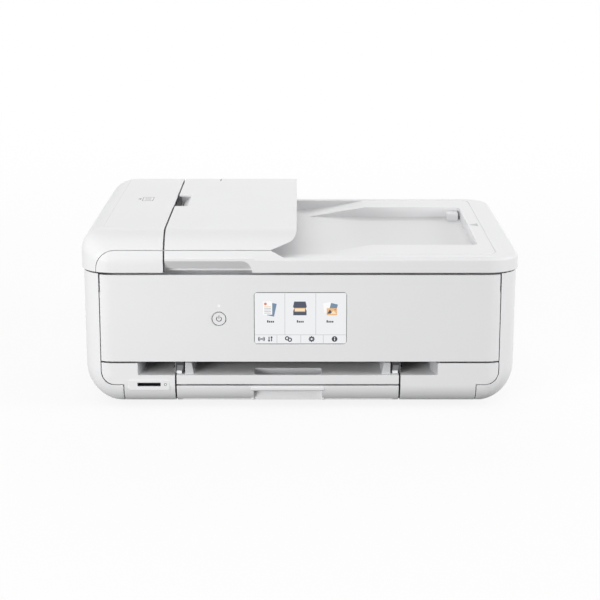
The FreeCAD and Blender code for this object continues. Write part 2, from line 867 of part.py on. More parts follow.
# Paper cassette: its front is cut from the skin, its tray runs back over the bottom plate
def make_cassette():
    front_region = box(
        "cassette_region", about("bay_x", "bay_half - seam"),
        ("front - wall", "floor_front - seam"), ("0", "cassette_top"))
    face = common("cassette_face", case_skin, front_region)
    tray_half = "bay_half - cassette_side"
    tray_front = "front + grip_depth"
    low = "floor_top + slide_gap"
    outside = box(
        "cassette_block", about("bay_x", tray_half), (tray_front, "cassette_back"),
        (low, "cassette_wall_top"))
    inside = box(
        "cassette_hollow", about("bay_x", f"{tray_half} - wall"),
        (f"{tray_front} + wall", "cassette_back - wall"), (f"{low} + cassette_floor", "far"))
    tray = cut("cassette_tray", outside, inside)
    cap = common(
        "cassette_cap", case_form,
        box(
            "cassette_cap_block", about("bay_x", "bay_half - seam"), ("front", f"{tray_front} + wall"),
            ("cassette_top - wall", "cassette_top")))
    grip = box(
        "grip_cut", about("bay_x", "grip_half"), ("front - wall", tray_front),
        ("0", "cassette_top - grip_lip"))
    lip = box("grip_lip_block", about("bay_x", "grip_half + wall"), ("lid_front", tray_front),
              ("cassette_top - grip_lip", "cassette_top - seam"))
    lip_round = round_edges(
        "grip_lip_round", lip, ("front low", "lip_round_low"), ("front top", "lip_round_top"))
    cheeks = [box(f"grip_cheek_{side}", about(f"bay_x + {sign} * (grip_half + wall / 2)", "wall / 2"),
                  ("front + front_roll / 3", tray_front), (low, "cassette_top - wall"))
              for side, sign in (("left", -1), ("right", 1))]
    front = cut("cassette_front", face, grip)
    node("cassette", fuse("cassette", front, tray, cap, lip_round, *cheeks))
    for side, sign in (("left", -1), ("right", 1)):
        place = f"bay_x + ({sign}) * guide_half"
        floor = f"{low} + cassette_floor + slide_gap"
        fin = box(
            f"paper_fin_{side}", about(place, "wall / 2"), about("guide_y", "guide_length / 2"),
            (floor, f"{floor} + guide_height"))
        foot_span = (place, f"{place} + guide_foot") if sign < 0 else (f"{place} - guide_foot", place)
        foot = box(
            f"paper_foot_{side}", foot_span, about("guide_y", "guide_length / 6"),
            (floor, f"{floor} + guide_plate"))
        node(f"paper_guide_{side}", fuse(f"paper_guide_{side}", fin, foot))


# Output tray with its front strip, finger scoop and fences; dark guides beside it; rails below it
def make_output():
    tray_x = about("bay_x", "bay_half - seam")
    strip = box("tray_strip", tray_x, ("front", "inner_front"), ("tray_low", "slot_low"))
    plate = box("tray_sheet", tray_x, ("front", "tray_back"), ("slot_low - tray_plate", "slot_low"))
    skids = [box(f"tray_skid_{side}", about(f"bay_x + ({sign}) * (bay_half - skid_inset)", "skid_half"),
                 ("front + wall / 2", "tray_back"), ("tray_low", "slot_low - tray_plate / 2"))
             for side, sign in (("left", -1), ("right", 1))]
    scoop_y = ("front + scoop_front", "front + scoop_back")
    pan = box(
        "scoop_pan", about("bay_x", "scoop_half + tray_plate"),
        ("front + wall / 2", "front + scoop_back + tray_plate"),
        ("slot_low - scoop_depth - tray_plate", "slot_low"))
    scoop_cut = round_edges("scoop_cut", box("scoop_block", about("bay_x", "scoop_half"), scoop_y,
                                             ("slot_low - scoop_depth", "slot_low + scoop_depth")),
                            ("left front", "scoop_corner"), ("right front", "scoop_corner"))
    fences = []
    for side, sign in (("left", 1), ("right", -1)):
        edge = "bay_left" if sign > 0 else "bay_right"
        outer = f"{edge} + ({sign}) * fence_inset"
        inner = f"{edge} + ({sign}) * (fence_inset + fence_base)"
        fences.append(
            prism(
                f"fence_{side}", "XZ",
                [
                    (outer, "slot_low - tray_plate / 2"), (outer, "panel_low - seam * 2"),
                    (f"{inner} - ({sign}) * fence_slope", "panel_low - seam * 2"),
                    (inner, "slot_low - tray_plate / 2")],
                ("front + wall * 2", "front + fence_back")))
    node("output_tray", cut("output_tray", fuse("tray_all", strip, plate, pan, *skids, *fences), scoop_cut))

    guides = []
    rails = []
    for side, sign in (("left", -1), ("right", 1)):
        edge = "(bay_left - seam)" if sign < 0 else "(bay_right + seam)"
        inward = f"{edge} - ({sign}) * (fence_inset - seam)"
        outward = f"{edge} + ({sign}) * heel_width"
        guide_y = ("front + wall * 3", "front + wall * 12")
        guide_top = "panel_low - seam * 2"
        over = box(f"tray_guide_over_{side}", (edge, inward) if sign < 0 else (inward, edge), guide_y,
                   ("slot_low + slide_gap", guide_top))
        heel = box(f"tray_guide_heel_{side}", (outward, edge) if sign < 0 else (edge, outward),
                   ("front + wall * 8", "front + wall * 12"), ("slot_low", "slot_low + heel_height"))
        guides.append(fuse(f"tray_guide_{side}", over, heel))
        rail_out = f"bay_x + ({sign}) * (bay_half - seam)"
        rail_in = f"bay_x + ({sign}) * (bay_half - seam - rail_thick)"
        flange_in = f"bay_x + ({sign}) * (bay_half - flange_reach)"
        rail_y = ("floor_front + wall * 2", "rail_back")
        rail_top = "tray_low - slide_gap"
        upright = box(
            f"rail_upright_{side}", (rail_out, rail_in) if sign < 0 else (rail_in, rail_out), rail_y,
            ("floor_top", rail_top))
        flange = box(
            f"rail_flange_{side}", (rail_out, flange_in) if sign < 0 else (flange_in, rail_out), rail_y,
            (f"{rail_top} - rail_flange", rail_top))
        rails.append(fuse(f"cassette_rail_{side}", upright, flange))
    node("tray_guides", group("tray_guides", *guides))
    node("cassette_rails", group("cassette_rails", *rails))
    sheet_piece = box(
        "deck_sheet", both("case_half"), ("front + deck_front", "deck_back"),
        ("deck_z", "deck_z + wall"))
    node("inner_deck", common("inner_deck", sheet_piece, case_hollow))


make_outer_case()
make_base()
make_bezels()
make_card_slot()
make_panel()
make_cassette()
make_output()


# Gears with straight flanks in the plane across X; a phase of zero puts a tooth on +Y
TIP_SHARE = 0.85
ROOT_SHARE = 1.15
PRESSURE_ANGLE = math.radians(20)


def gear_solid(teeth, y, z, phase, x_low, x_high):
    module = number("gear_module")
    pitch = teeth * module / 2
    tip = pitch + TIP_SHARE * module
    root = pitch - ROOT_SHARE * module
    lean = math.tan(PRESSURE_ANGLE)
    middle = math.pi * module / 4 - number("backlash") / 2
    points = []
    for tooth in range(teeth):
        centre = phase + 2 * math.pi * tooth / teeth
        for radius, way in ((root, -1), (tip, -1), (tip, 1), (root, 1)):
            turn = centre + way * (middle - (radius - pitch) * lean) / radius
            points.append(Vector(x_low, y + radius * math.cos(turn), z + radius * math.sin(turn)))
    outline = Part.Wire(Part.makePolygon(points + points[:1]))
    return Part.Face(outline).extrude(Vector(x_high - x_low, 0, 0))


class GearTrain:
    """Centres and phases of the feed gear, the idler, the eject gear and the motor's pinion."""

    def __init__(self):
        module = number("gear_module")
        self.teeth = {name: round(number(f"{name}_teeth")) for name in ("feed", "idler", "eject", "pinion")}
        self.radius = {name: count * module / 2 for name, count in self.teeth.items()}
        self.centre = {
            "feed": (number("feed_y"), number("feed_z")), "eject": (number("eject_y"), number("eject_z"))}
        self.centre["idler"] = self.third_corner("eject", "feed", "idler")
        turn = math.radians(number("pinion_angle"))
        reach = self.radius["idler"] + self.radius["pinion"]
        y, z = self.centre["idler"]
        self.centre["pinion"] = (y + reach * math.cos(turn), z + reach * math.sin(turn))
        self.phase = {"feed": 0.0}
        for driver, driven in (("feed", "idler"), ("idler", "eject"), ("idler", "pinion")):
            self.phase[driven] = self.meshed(driver, driven)

    def third_corner(self, first, second, third):
        """The point above the line of two centres that touches both pitch circles."""
        (y, z), (far_y, far_z) = self.centre[first], self.centre[second]
        span = math.hypot(far_y - y, far_z - z)
        near = self.radius[first] + self.radius[third]
        other = self.radius[second] + self.radius[third]
        along = (near ** 2 - other ** 2 + span ** 2) / (2 * span)
        up = math.sqrt(near ** 2 - along ** 2)
        unit_y, unit_z = (far_y - y) / span, (far_z - z) / span
        return y + along * unit_y - up * unit_z, z + along * unit_z + up * unit_y

    def meshed(self, driver, driven):
        """The phase that puts a gap of the driven gear against the driver's tooth."""
        (y, z), (far_y, far_z) = self.centre[driver], self.centre[driven]
        line = math.atan2(far_z - z, far_y - y)
        pitch = 2 * math.pi / self.teeth[driver]
        half_tooth = 1 / 2
        offset = (self.phase[driver] - line) / pitch + half_tooth
        return line + math.pi - offset * 2 * math.pi / self.teeth[driven]


train = GearTrain()


def make_gear(label, name, bore, extra=None):
    y, z = train.centre[name]
    x_low, x_high = number("gear_out"), number("gear_in")
    solid = gear_solid(train.teeth[name], y, z, train.phase[name], x_low, x_high)
    if bore:
        solid = solid.cut(Part.makeCylinder(bore, x_high - x_low, Vector(x_low, y, z), Vector(1, 0, 0)))
    if extra:
        solid = solid.fuse(extra)
    made = doc.addObject("Part::Feature", label)
    made.Shape = solid
    node(label, made)


def make_gears():
    clear = number("pin_gap")
    make_gear("feed_gear", "feed", number("feed_journal"))
    make_gear("eject_gear", "eject", number("eject_journal"))
    make_gear("idler_gear", "idler", number("idler_stud") + clear)
    y, z = train.centre["pinion"]
    start = number("gear_in")
    shaft = Part.makeCylinder(number("motor_shaft"), number("feed_motor_length / 2 + sheet + gear_gap"),
                              Vector(start, y, z), Vector(1, 0, 0))
    make_gear("motor_pinion", "pinion", None, shaft)


# Sheet-metal chassis: deck, rear plate and side plates, with the idler gear's stud and the belt idler's pin
def make_chassis():
    whole_y = ("chassis_front", "chassis_back")
    deck = box(
        "chassis_deck", both("chassis_half"), ("platen_front - deck_margin", "chassis_back"),
        ("chassis_low", "chassis_low + sheet"))
    rear = box(
        "chassis_rear", both("chassis_half"), ("chassis_back - sheet", "chassis_back"),
        ("chassis_low", "chassis_top"))
    sides = [box(f"chassis_side_{side}", sided(sign, "chassis_half - sheet", "chassis_half"), whole_y,
                 ("chassis_low", "chassis_side_top")) for side, sign in (("left", -1), ("right", 1))]
    idler_y, idler_z = train.centre["idler"]
    stud = rod(
        "idler_stud", "x", "idler_stud", ("gear_out", "-chassis_half + sheet"),
        (str(idler_y), str(idler_z)))
    pin = rod(
        "idler_pin", "y", "pulley_bore", ("chassis_back - sheet - belt_width * 2", "chassis_back"),
        ("pulley_x", "pulley_z"))
    cross = both("chassis_half + overrun")
    rear_through = ("chassis_back - sheet - overrun", "chassis_back + overrun")
    pinion_y, pinion_z = train.centre["pinion"]
    holes = [
        rod("feed_holes", "x", "feed_journal + pin_gap", cross, ("feed_y", "feed_z")),
        rod("eject_holes", "x", "eject_journal + pin_gap", cross, ("eject_y", "eject_z")),
        rod("shaft_holes", "x", "shaft_radius", cross, ("shaft_y", "shaft_z")),
        rod(
            "pinion_hole", "x", "motor_shaft + shaft_clear",
            ("-chassis_half - overrun", "-chassis_half + sheet + overrun"),
            (str(pinion_y), str(pinion_z))),
        rod("motor_hole", "y", "motor_shaft + shaft_clear", rear_through, ("-pulley_x", "pulley_z")),
        box(
            "paper_gate", both("rear_half - wall"), rear_through,
            ("rear_bed_low + rear_bed_thick", "rear_bed_low + rear_bed_thick + gate_height"))]
    for index, (x, y) in enumerate(post_places()):
        holes.append(
            rod(
                f"deck_hole_{index}", "z", "screw_radius",
                ("chassis_low - overrun", "chassis_low + sheet + overrun"), (x, y)))
    body = cut("chassis_body", fuse("chassis_sheets", deck, rear, *sides), *holes)
    node("print_chassis", fuse("print_chassis", body, stud, pin))
    node(
        "carriage_shaft",
        rod("carriage_shaft", "x", "shaft_radius", both("chassis_half"), ("shaft_y", "shaft_z")))


# Belt drive of the carriage
BELT_Y = ("chassis_back - sheet - belt_width - belt_offset", "chassis_back - sheet - belt_offset")


def loop_solid(name, radius, y):
    ends = [rod(f"{name}_end_{side}", "y", radius, y, (f"{sign}pulley_x", "pulley_z"))
            for side, sign in (("left", "-"), ("right", ""))]
    return fuse(name, box(name + "_run", both("pulley_x"), y, about("pulley_z", radius)), *ends)


def make_drive():
    inner_y = (f"{BELT_Y[0]} - overrun", f"{BELT_Y[1]} + overrun")
    node(
        "carriage_belt",
        cut(
            "carriage_belt", loop_solid("belt_outside", "pulley_radius + belt_thick", BELT_Y),
            loop_solid("belt_inside", "pulley_radius + slide_gap", inner_y)))
    wheel = rod("motor_wheel", "y", "pulley_radius", BELT_Y, ("-pulley_x", "pulley_z"))
    shaft = rod(
        "motor_axle", "y", "motor_shaft", (BELT_Y[0], "chassis_back + motor_length / 2"),
        ("-pulley_x", "pulley_z"))
    node("motor_pulley", fuse("motor_pulley", wheel, shaft))
    wheel = rod("idler_wheel", "y", "pulley_radius", BELT_Y, ("pulley_x", "pulley_z"))
    bore = rod("idler_bore", "y", "pulley_bore + pin_gap", inner_y, ("pulley_x", "pulley_z"))
    node("idler_pulley", cut("idler_pulley", wheel, bore))
    can = rod(
        "carriage_motor_can", "y", "motor_radius", ("chassis_back", "chassis_back + motor_length"),
        ("-pulley_x", "pulley_z"))
    bore = rod(
        "carriage_motor_bore", "y", "motor_shaft + pin_gap",
        ("chassis_back - overrun", "chassis_back + motor_length / 2 + overrun"),
        ("-pulley_x", "pulley_z"))
    node("carriage_motor", cut("carriage_motor", can, bore))
    y, z = (str(place) for place in train.centre["pinion"])
    start = "-chassis_half + sheet"
    can = rod("feed_motor_can", "x", "feed_motor_radius", (start, f"{start} + feed_motor_length"), (y, z))
    bore = rod(
        "feed_motor_bore", "x", "motor_shaft + pin_gap",
        (f"{start} - overrun", f"{start} + feed_motor_length / 2 + overrun"), (y, z))
    node("feed_motor", cut("feed_motor", can, bore))


# Carriage with the print head below and the ink tanks in it
HEAD_SHARE = 0.7
CAP_SHARE = 0.6
TANK_COUNT = 5


def make_carriage():
    x = about("carriage_x", "carriage_half")
    outside = box("carriage_block", x, ("carriage_front", "carriage_rear"), ("carriage_low", "carriage_top"))
    inside = box(
        "carriage_hollow", about("carriage_x", "carriage_half - carriage_wall"),
        ("carriage_front + carriage_wall", "carriage_rear - carriage_wall"),
        ("carriage_low + carriage_wall * 2", "far"))
    front_dip = box(
        "carriage_dip", about("carriage_x", "carriage_half - carriage_wall"),
        ("carriage_front - overrun", "carriage_front + carriage_wall + overrun"),
        ("carriage_top - dip_height", "far"))
    head_x = about("carriage_x", f"carriage_half * {HEAD_SHARE}")
    head_y = ("carriage_front + head_front", "carriage_rear - head_rear")
    head_top = "carriage_low + carriage_wall * 2"
    seat = box("head_seat", head_x, head_y, ("carriage_low - overrun", head_top))
    collar = box(
        "carriage_collar", x, ("carriage_rear - carriage_wall", "shaft_y + shaft_radius + collar_wall"),
        about("shaft_z", "shaft_radius + collar_wall"))
    bore = rod(
        "carriage_bore", "x", "shaft_radius + pin_gap", about("carriage_x", "carriage_half + overrun"),
        ("shaft_y", "shaft_z"))
    run_low = "pulley_z - pulley_radius - belt_thick"
    run_top = "pulley_z - pulley_radius + slide_gap"
    clamp_x = about("carriage_x", "clamp_half")
    clamp_y = ("carriage_rear - carriage_wall", f"{BELT_Y[1]} - overrun")
    clamps = [
        box(
            "clamp_low", clamp_x, clamp_y,
            (f"{run_low} - slide_gap - clamp_thick", f"{run_low} - slide_gap")),
        box("clamp_high", clamp_x, clamp_y, (run_top, f"{run_top} + clamp_thick"))]
    body = fuse("carriage_all", cut("carriage_open", outside, inside, front_dip), collar, *clamps)
    node("carriage", cut("carriage", body, bore, seat))
    node("print_head", box("print_head", head_x, head_y, ("platen_top + rib_height + head_gap", head_top)))
    tanks = []
    room = "(carriage_half - carriage_wall) * 2 - tank_gap"
    for index in range(TANK_COUNT):
        left = f"carriage_x - carriage_half + carriage_wall + tank_gap + ({room}) / {TANK_COUNT} * {index}"
        low = "carriage_low + carriage_wall * 2"
        y_low = "carriage_front + carriage_wall + tank_gap"
        block = box(
            f"tank_block_{index}", (left, f"{left} + ({room}) / {TANK_COUNT} - tank_gap"),
            (y_low, f"{y_low} + tank_depth"), (low, f"{low} + tank_height"))
        tanks.append(
            round_edges(
                f"tank_{index}", block, ("front top", "tank_edge_front"), ("back top", "tank_edge_back")))
    node("ink_tanks", group("ink_tanks", *tanks))


# Paper drive: rollers, platen with ribs, purge unit, pick-up arm and roller
RING_COUNT = 8
RIB_COUNT = 15


def make_paper_drive():
    across = ("feed_y", "feed_z")
    roller = rod("feed_core", "x", "feed_radius", both("chassis_half - sheet - gear_gap"), across)
    journal = rod("feed_axle", "x", "feed_journal", ("gear_out", "chassis_half + gear_gap * 2"), across)
    node("feed_roller", fuse("feed_roller", roller, journal))
    across = ("eject_y", "eject_z")
    axle = rod("eject_axle", "x", "eject_journal", ("gear_out", "chassis_half + gear_gap * 2"), across)
    rings = [
        rod(
            f"eject_ring_{index}", "x", "eject_radius",
            about(
                f"(chassis_half - ring_margin) * {2 * index + 1 - RING_COUNT} / {RING_COUNT}",
                "ring_half"),
            across)
        for index in range(RING_COUNT)]
    node("eject_roller", fuse("eject_roller", axle, *rings))

    floor = "chassis_low + sheet"
    x, y = ("-platen_left", "platen_right"), ("platen_front", "platen_rear")
    outside = box("platen_block", x, y, (floor, "platen_top"))
    inside = box(
        "platen_hollow", ("-platen_left + wall", "platen_right - wall"),
        ("platen_front + wall", "platen_rear - wall"), (f"{floor} - overrun", "platen_top - wall"))
    ribs = [
        box(
            f"platen_rib_{index}",
            about(
                f"-platen_left + (platen_left + platen_right) * {index + 0.5} / {RIB_COUNT}",
                "rib_thick / 2"),
            y, ("platen_top - wall / 2", "platen_top + rib_height"))
        for index in range(RIB_COUNT)]
    node("platen", fuse("platen", cut("platen_shell", outside, inside), *ribs))

    cap_x = about("carriage_x", f"carriage_half * {CAP_SHARE}")
    base = box(
        "purge_base", ("platen_right + wall * 2", "chassis_half - sheet - wall * 6"), y,
        (floor, "platen_top"))
    cap = box(
        "purge_cap", cap_x, ("platen_front + cap_margin", "platen_rear - cap_margin"),
        ("platen_top - overrun", "platen_top + rib_height"))
    dish = box(
        "purge_dish", about("carriage_x", f"carriage_half * {CAP_SHARE} - wall"),
        ("platen_front + cap_margin + wall", "platen_rear - cap_margin - wall"),
        ("platen_top + overrun", "far"))
    node("purge_unit", cut("purge_unit", fuse("purge_all", base, cap), dish))

    across = ("pickup_y", "pickup_z")
    axle = rod("pickup_axle", "x", "pickup_shaft", about("bay_x", "pickup_axle_half"), across)
    wheels = [
        rod(
            f"pickup_wheel_{side}", "x", "pickup_radius",
            about(f"bay_x + ({sign}) * pickup_wheel_x", "pickup_wheel_half"), across)
        for side, sign in (("left", -1), ("right", 1))]
    node("pickup_roller", fuse("pickup_roller", axle, *wheels))
    arm = box(
        "pickup_arm_bar", about("bay_x", "pickup_arm_half"),
        ("chassis_back", "pickup_y + pickup_arm_reach"), about("pickup_z", "pickup_arm_reach"))
    bore = rod(
        "pickup_bore", "x", "pickup_shaft + pin_gap", about("bay_x", "pickup_arm_half + overrun"), across)
    node("pickup_arm", cut("pickup_arm", arm, bore))


# Rear feed: sloped bed, cover in the rear wall and the support that slides up behind the lid
def make_rear_feed():
    low = "rear_bed_low"
    back = "inner_back - support_thick * 2"
    node(
        "rear_feed_bed",
        prism(
            "rear_feed_bed", "YZ",
            [
                ("chassis_back", low), ("chassis_back", f"{low} + rear_bed_thick"),
                (back, "rear_low + rear_bed_thick"), (back, "rear_low")],
            both("rear_half - wall * 2")))
    cover = box(
        "rear_cover_sheet", both("rear_half - seam"), ("inner_back", "back - seam"),
        ("rear_low + seam", "rear_top"))
    lips = [
        box(
            f"rear_cover_lip_{side}",
            sided(sign, "support_half + slide_gap", "support_half + slide_gap + wall"),
            ("inner_back - support_thick - slide_gap * 2", "inner_back + overrun"),
            ("rear_low + wall * 3", "rear_top - wall / 2"))
        for side, sign in (("left", -1), ("right", 1))]
    node("rear_tray_cover", fuse("rear_tray_cover", cover, *lips))
    support = box(
        "support_sheet", both("support_half"),
        ("inner_back - support_thick - slide_gap", "inner_back - slide_gap"),
        ("rear_low + wall * 3", "rear_top - wall / 2"))
    window = box(
        "support_window", both("support_half / 3"), ("inner_back - support_thick * 2", "inner_back"),
        ("rear_top - support_hold * 2", "rear_top - support_hold"))
    node("paper_support", cut("paper_support", support, window))


# Electronics on the bottom plate and the sockets in the rear wall; a chip row is place, half sizes and rise
CHIPS = (
    ("board_front + 35", "12", "12", "2"),
    ("board_front + 75", "9", "14", "1.5"),
    ("board_back - 40", "16", "6", "8"),
    ("board_back - 20", "16", "5", "8"),
)


def make_electronics():
    node(
        "power_supply",
        round_edges(
            "power_supply",
            box(
                "supply_block", ("supply_left", "supply_right"), ("supply_front", "supply_back"),
                ("floor_top", "supply_top")),
            *((f"{side} top", "supply_edge") for side in ("left", "right", "front", "back"))))
    x, y = ("board_left", "board_right"), ("board_front", "board_back")
    low = "floor_top + board_lift"
    sheet_piece = box("board_sheet", x, y, (low, f"{low} + board_thick"))
    stands = [
        rod(
            f"board_stand_{index}", "z", "stand_radius", ("floor_top", f"{low} + board_thick / 2"),
            (place_x, place_y))
        for index,
        (place_x, place_y) in enumerate(
            (a, b) for a in ("board_left + stand_inset", "board_right - stand_inset")
            for b in ("board_front + stand_inset", "board_back - stand_inset"))]
    chips = [box(f"chip_{index}", about("(board_left + board_right) / 2", half_x), about(place, half_y),
                 (f"{low} + board_thick / 2", f"{low} + board_thick + {rise}"))
             for index, (place, half_x, half_y, rise) in enumerate(CHIPS)]
    node("main_board", fuse("main_board", sheet_piece, *stands, *chips))
    sockets = []
    for label, key in (("power_inlet", "inlet"), ("data_socket", "usb")):
        shell = box(
            label + "_block", about(f"{key}_x", f"{key}_width / 2"),
            ("back - socket_depth", "back - seam"), about(f"{key}_z", f"{key}_height / 2"))
        well = box(
            label + "_well", about(f"{key}_x", f"{key}_width / 2 - socket_wall"),
            ("back - socket_depth + socket_wall", "back + overrun"),
            about(f"{key}_z", f"{key}_height / 2 - socket_wall"))
        contacts = [
            rod(
                f"{label}_pin_{side}", "y", "contact_radius",
                ("back - socket_depth + socket_wall / 2", "back - contact_inset"),
                (f"{key}_x + ({sign}) * {key}_width / 6", f"{key}_z"))
            for side, sign in (("left", -1), ("right", 1))]
        sockets.append(fuse(label, cut(label + "_shell", shell, well), *contacts))
    node("rear_sockets", group("rear_sockets", *sockets))


make_chassis()
make_gears()
make_drive()
make_carriage()
make_paper_drive()
make_rear_feed()
make_electronics()


# Hinge line: brackets on the case floor, pins, and the leaves of scanner and lid side by side on each pin
LEAF = [("hinge_x", "hinge_x + hinge_leaf")]
LEAF.append((f"{LEAF[0][1]} + hinge_space", f"{LEAF[0][1]} + hinge_space + hinge_leaf"))
LEAF.append((f"{LEAF[1][1]} + hinge_space", f"{LEAF[1][1]} + hinge_space + hinge_leaf"))
HINGE_ACROSS = ("hinge_y", "hinge_z")


def hinge_leaf(name, index, sign, y, z):
    """A leaf with an eye on the pin and a block that reaches to the piece which carries it."""
    x = sided(sign, *LEAF[index])
    block = box(name + "_block", x, y, z)
    eye = rod(name + "_eye", "x", "hinge_ring", x, HINGE_ACROSS)
    return fuse(name, block, eye)


def hinge_bore(name, index, sign, gap):
    low, high = sided(sign, *LEAF[index])
    return rod(
        name, "x", f"hinge_radius + {gap}", (f"{low} - hinge_space / 2", f"{high} + hinge_space / 2"),
        HINGE_ACROSS)


def make_hinges():
    brackets = []
    pins = []
    for side, sign in (("left", -1), ("right", 1)):
        post = hinge_leaf(
            f"hinge_post_{side}", 0, sign, ("hinge_y - hinge_ring", "hinge_y + hinge_heel"),
            ("floor_top", "hinge_z"))
        brackets.append(
            cut(f"hinge_bracket_{side}", post, hinge_bore(f"hinge_bracket_bore_{side}", 0, sign, "0")))
        pins.append(
            rod(
                f"hinge_pin_{side}", "x", "hinge_radius",
                sided(sign, LEAF[0][0], f"{LEAF[2][1]} + hinge_space / 2"), HINGE_ACROSS))
    node("hinge_brackets", group("hinge_brackets", *brackets, *pins))


# Scanner unit: frame with a window, glass plates and the scan head on its rail


def make_scanner():
    y = ("scan_front_y", "scan_back")
    outside = round_edges(
        "scanner_form", box("scanner_block", both("scan_half"), y, ("scan_low", "scan_top")),
        ("left front", "scan_corner"), ("right front", "scan_corner"), ("left back", "scan_corner"),
        ("right back", "scan_corner"))
    inside = box(
        "scanner_hollow", both("scan_half - scan_corner / 2"),
        ("scan_front_y + scan_corner / 2", "scan_back - scan_corner / 2"),
        ("scan_low + wall", "scan_top - scan_deck"))
    glass_z = ("scan_top - glass_thick", "scan_top")
    cut_z = ("scan_top - scan_deck - overrun", "scan_top + overrun")
    windows = []
    panes = []
    for label, centre, half in (
        ("platen_glass", "0", "glass_half_x"), ("feeder_glass", "strip_x", "strip_half")):
        seat = box(
            label + "_seat", about(centre, f"{half} + seat_gap"), both("glass_half_y + seat_gap"),
            (glass_z[0], cut_z[1]))
        hole = box(
            label + "_hole", about(centre, f"{half} - glass_ledge"), both("glass_half_y - glass_ledge"),
            cut_z)
        windows += [seat, hole]
        panes.append(box(label, about(centre, half), both("glass_half_y"), glass_z))
    leaves = []
    bores = []
    for side, sign in (("left", -1), ("right", 1)):
        leaves.append(
            hinge_leaf(
                f"scanner_leaf_{side}", 1, sign, ("scan_back - wall", "hinge_y + hinge_heel"),
                ("scan_top - leaf_drop", "scan_top + overrun")))
        bores.append(hinge_bore(f"scanner_leaf_bore_{side}", 1, sign, "pin_gap"))
    rail = box(
        "scan_rail", both("scan_half - scan_corner / 2"), both("scan_rail_half"),
        ("scan_low + wall / 2", "head_low - slide_gap"))
    body = cut("scanner_body", outside, inside, *windows)
    node("scanner_frame", cut("scanner_frame", fuse("scanner_all", body, rail, *leaves), *bores))
    node("scanner_glass", group("scanner_glass", *panes))
    head = box(
        "scan_head_block", about("strip_x", "head_half"), both("glass_half_y - glass_ledge"),
        ("head_low", "head_top"))
    cheeks = [
        box(
            f"scan_head_cheek_{side}", about("strip_x", "head_half"),
            sided(sign, "scan_rail_half + slide_gap", "scan_rail_half + slide_gap + wall"),
            ("scan_low + wall + slide_gap", "head_low + overrun"))
        for side, sign in (("front", -1), ("back", 1))]
    node("scan_head", fuse("scan_head", head, *cheeks))


make_hinges()
make_scanner()


# Document cover: rounded plate with the trough for scanned sheets, liner and pressure pad
lid_block = box("lid_block", both("lid_half"), ("lid_front", "lid_back"), ("lid_low", "lid_top"))
lid_form = round_edges("lid_form", lid_block, ("left front", "lid_corner"), ("right front", "lid_corner"),
                       ("left back", "lid_corner"), ("right back", "lid_corner"), ("front top", "lid_edge"),
                       ("left top", "lid_edge"), ("right top", "lid_edge"), ("back top", "lid_edge"))
lid_hollow = round_edges(
    "lid_hollow",
    box(
        "lid_hollow_block", both("lid_half - wall"), ("lid_front + wall", "lid_back - wall"),
        ("lid_low - wall", "lid_top - wall")),
    ("left front", "lid_corner - wall"), ("right front", "lid_corner - wall"),
    ("left back", "lid_corner - wall"), ("right back", "lid_corner - wall"))


# Document feeder: one rounded form, cut into the cover on the left, the tray flap and the strips below it
def rounded_feeder(name, inset, low):
    block = box(name + "_block", (f"-lid_half + {inset}", f"feeder_right + {inset} * 2"),
                (f"lid_front + {inset}", f"lid_back - {inset}"), (low, f"total_height - {inset}"))
    return round_edges(
        name, block, ("left front", f"lid_corner - {inset}"), ("left back", f"lid_corner - {inset}"),
        ("front top", f"feeder_roll_front - {inset}"), ("left top", f"feeder_roll_left - {inset}"),
        ("back top", f"feeder_roll_back - {inset}"))


feeder_form = rounded_feeder("feeder_form", "0", "lid_low")
feeder_hollow = rounded_feeder("feeder_hollow", "wall", "lid_low - wall")
feeder_skin = cut("feeder_skin", feeder_form, feeder_hollow)


def front_strip(name, gap):
    """The part of the feeder's front that stays on the lid below the cover and the tray flap."""
    block = box(
        name + "_block", (f"strip_left - {gap}", f"strip_right + {gap}"),
        ("lid_front - overrun", "lid_front + lid_corner"), ("0", f"strip_top + {gap}"))
    return round_edges(name, block, ("left top", f"strip_corner + {gap}"))


def trough_solid(name, grow, top):
    floor = f"trough_floor - {grow}"
    wide_y = (f"trough_wide_front - {grow}", f"trough_wide_back + {grow}")
    start = "ramp_foot - overrun"
    wide = box(name + "_wide", (f"trough_left - {grow}", "ramp_foot"), wide_y, (floor, top))
    ramp = prism(
        name + "_ramp", "XZ",
        [
            (start, floor), (f"ramp_foot + {grow}", floor), (f"ramp_head + {grow}", "lid_top"),
            (f"ramp_head + {grow}", top), (start, top)],
        wide_y)
    narrow = round_edges(
        name + "_narrow_round",
        box(
            name + "_narrow", (start, f"trough_right + {grow}"),
            (f"trough_front - {grow}", f"trough_back + {grow}"), (floor, top)),
        ("right front", f"trough_corner + {grow}"), ("right back", f"trough_corner + {grow}"))
    return fuse(name, wide, ramp, narrow)


def groove_block(name, inset):
    """The outline of the inset plate around the trough, which shows as a fine groove in the lid's top."""
    block = box(name + "_block", ("ramp_foot", f"groove_right - {inset}"),
                (f"trough_wide_front + {inset}", f"trough_wide_back - {inset}"),
                ("lid_top - groove_depth", f"lid_top + {inset} + overrun"))
    return round_edges(name, block, ("right front", "groove_corner"), ("right back", "groove_corner"))


def hinge_pocket(name, sign, gap):
    return box(
        name, sided(sign, f"{LEAF[0][0]} - {gap}", f"{LEAF[2][1]} + {gap}"),
        (f"hinge_y - hinge_ring - {gap}", "lid_back + wall"),
        ("lid_low - wall", f"hinge_z + hinge_ring + {gap}"))


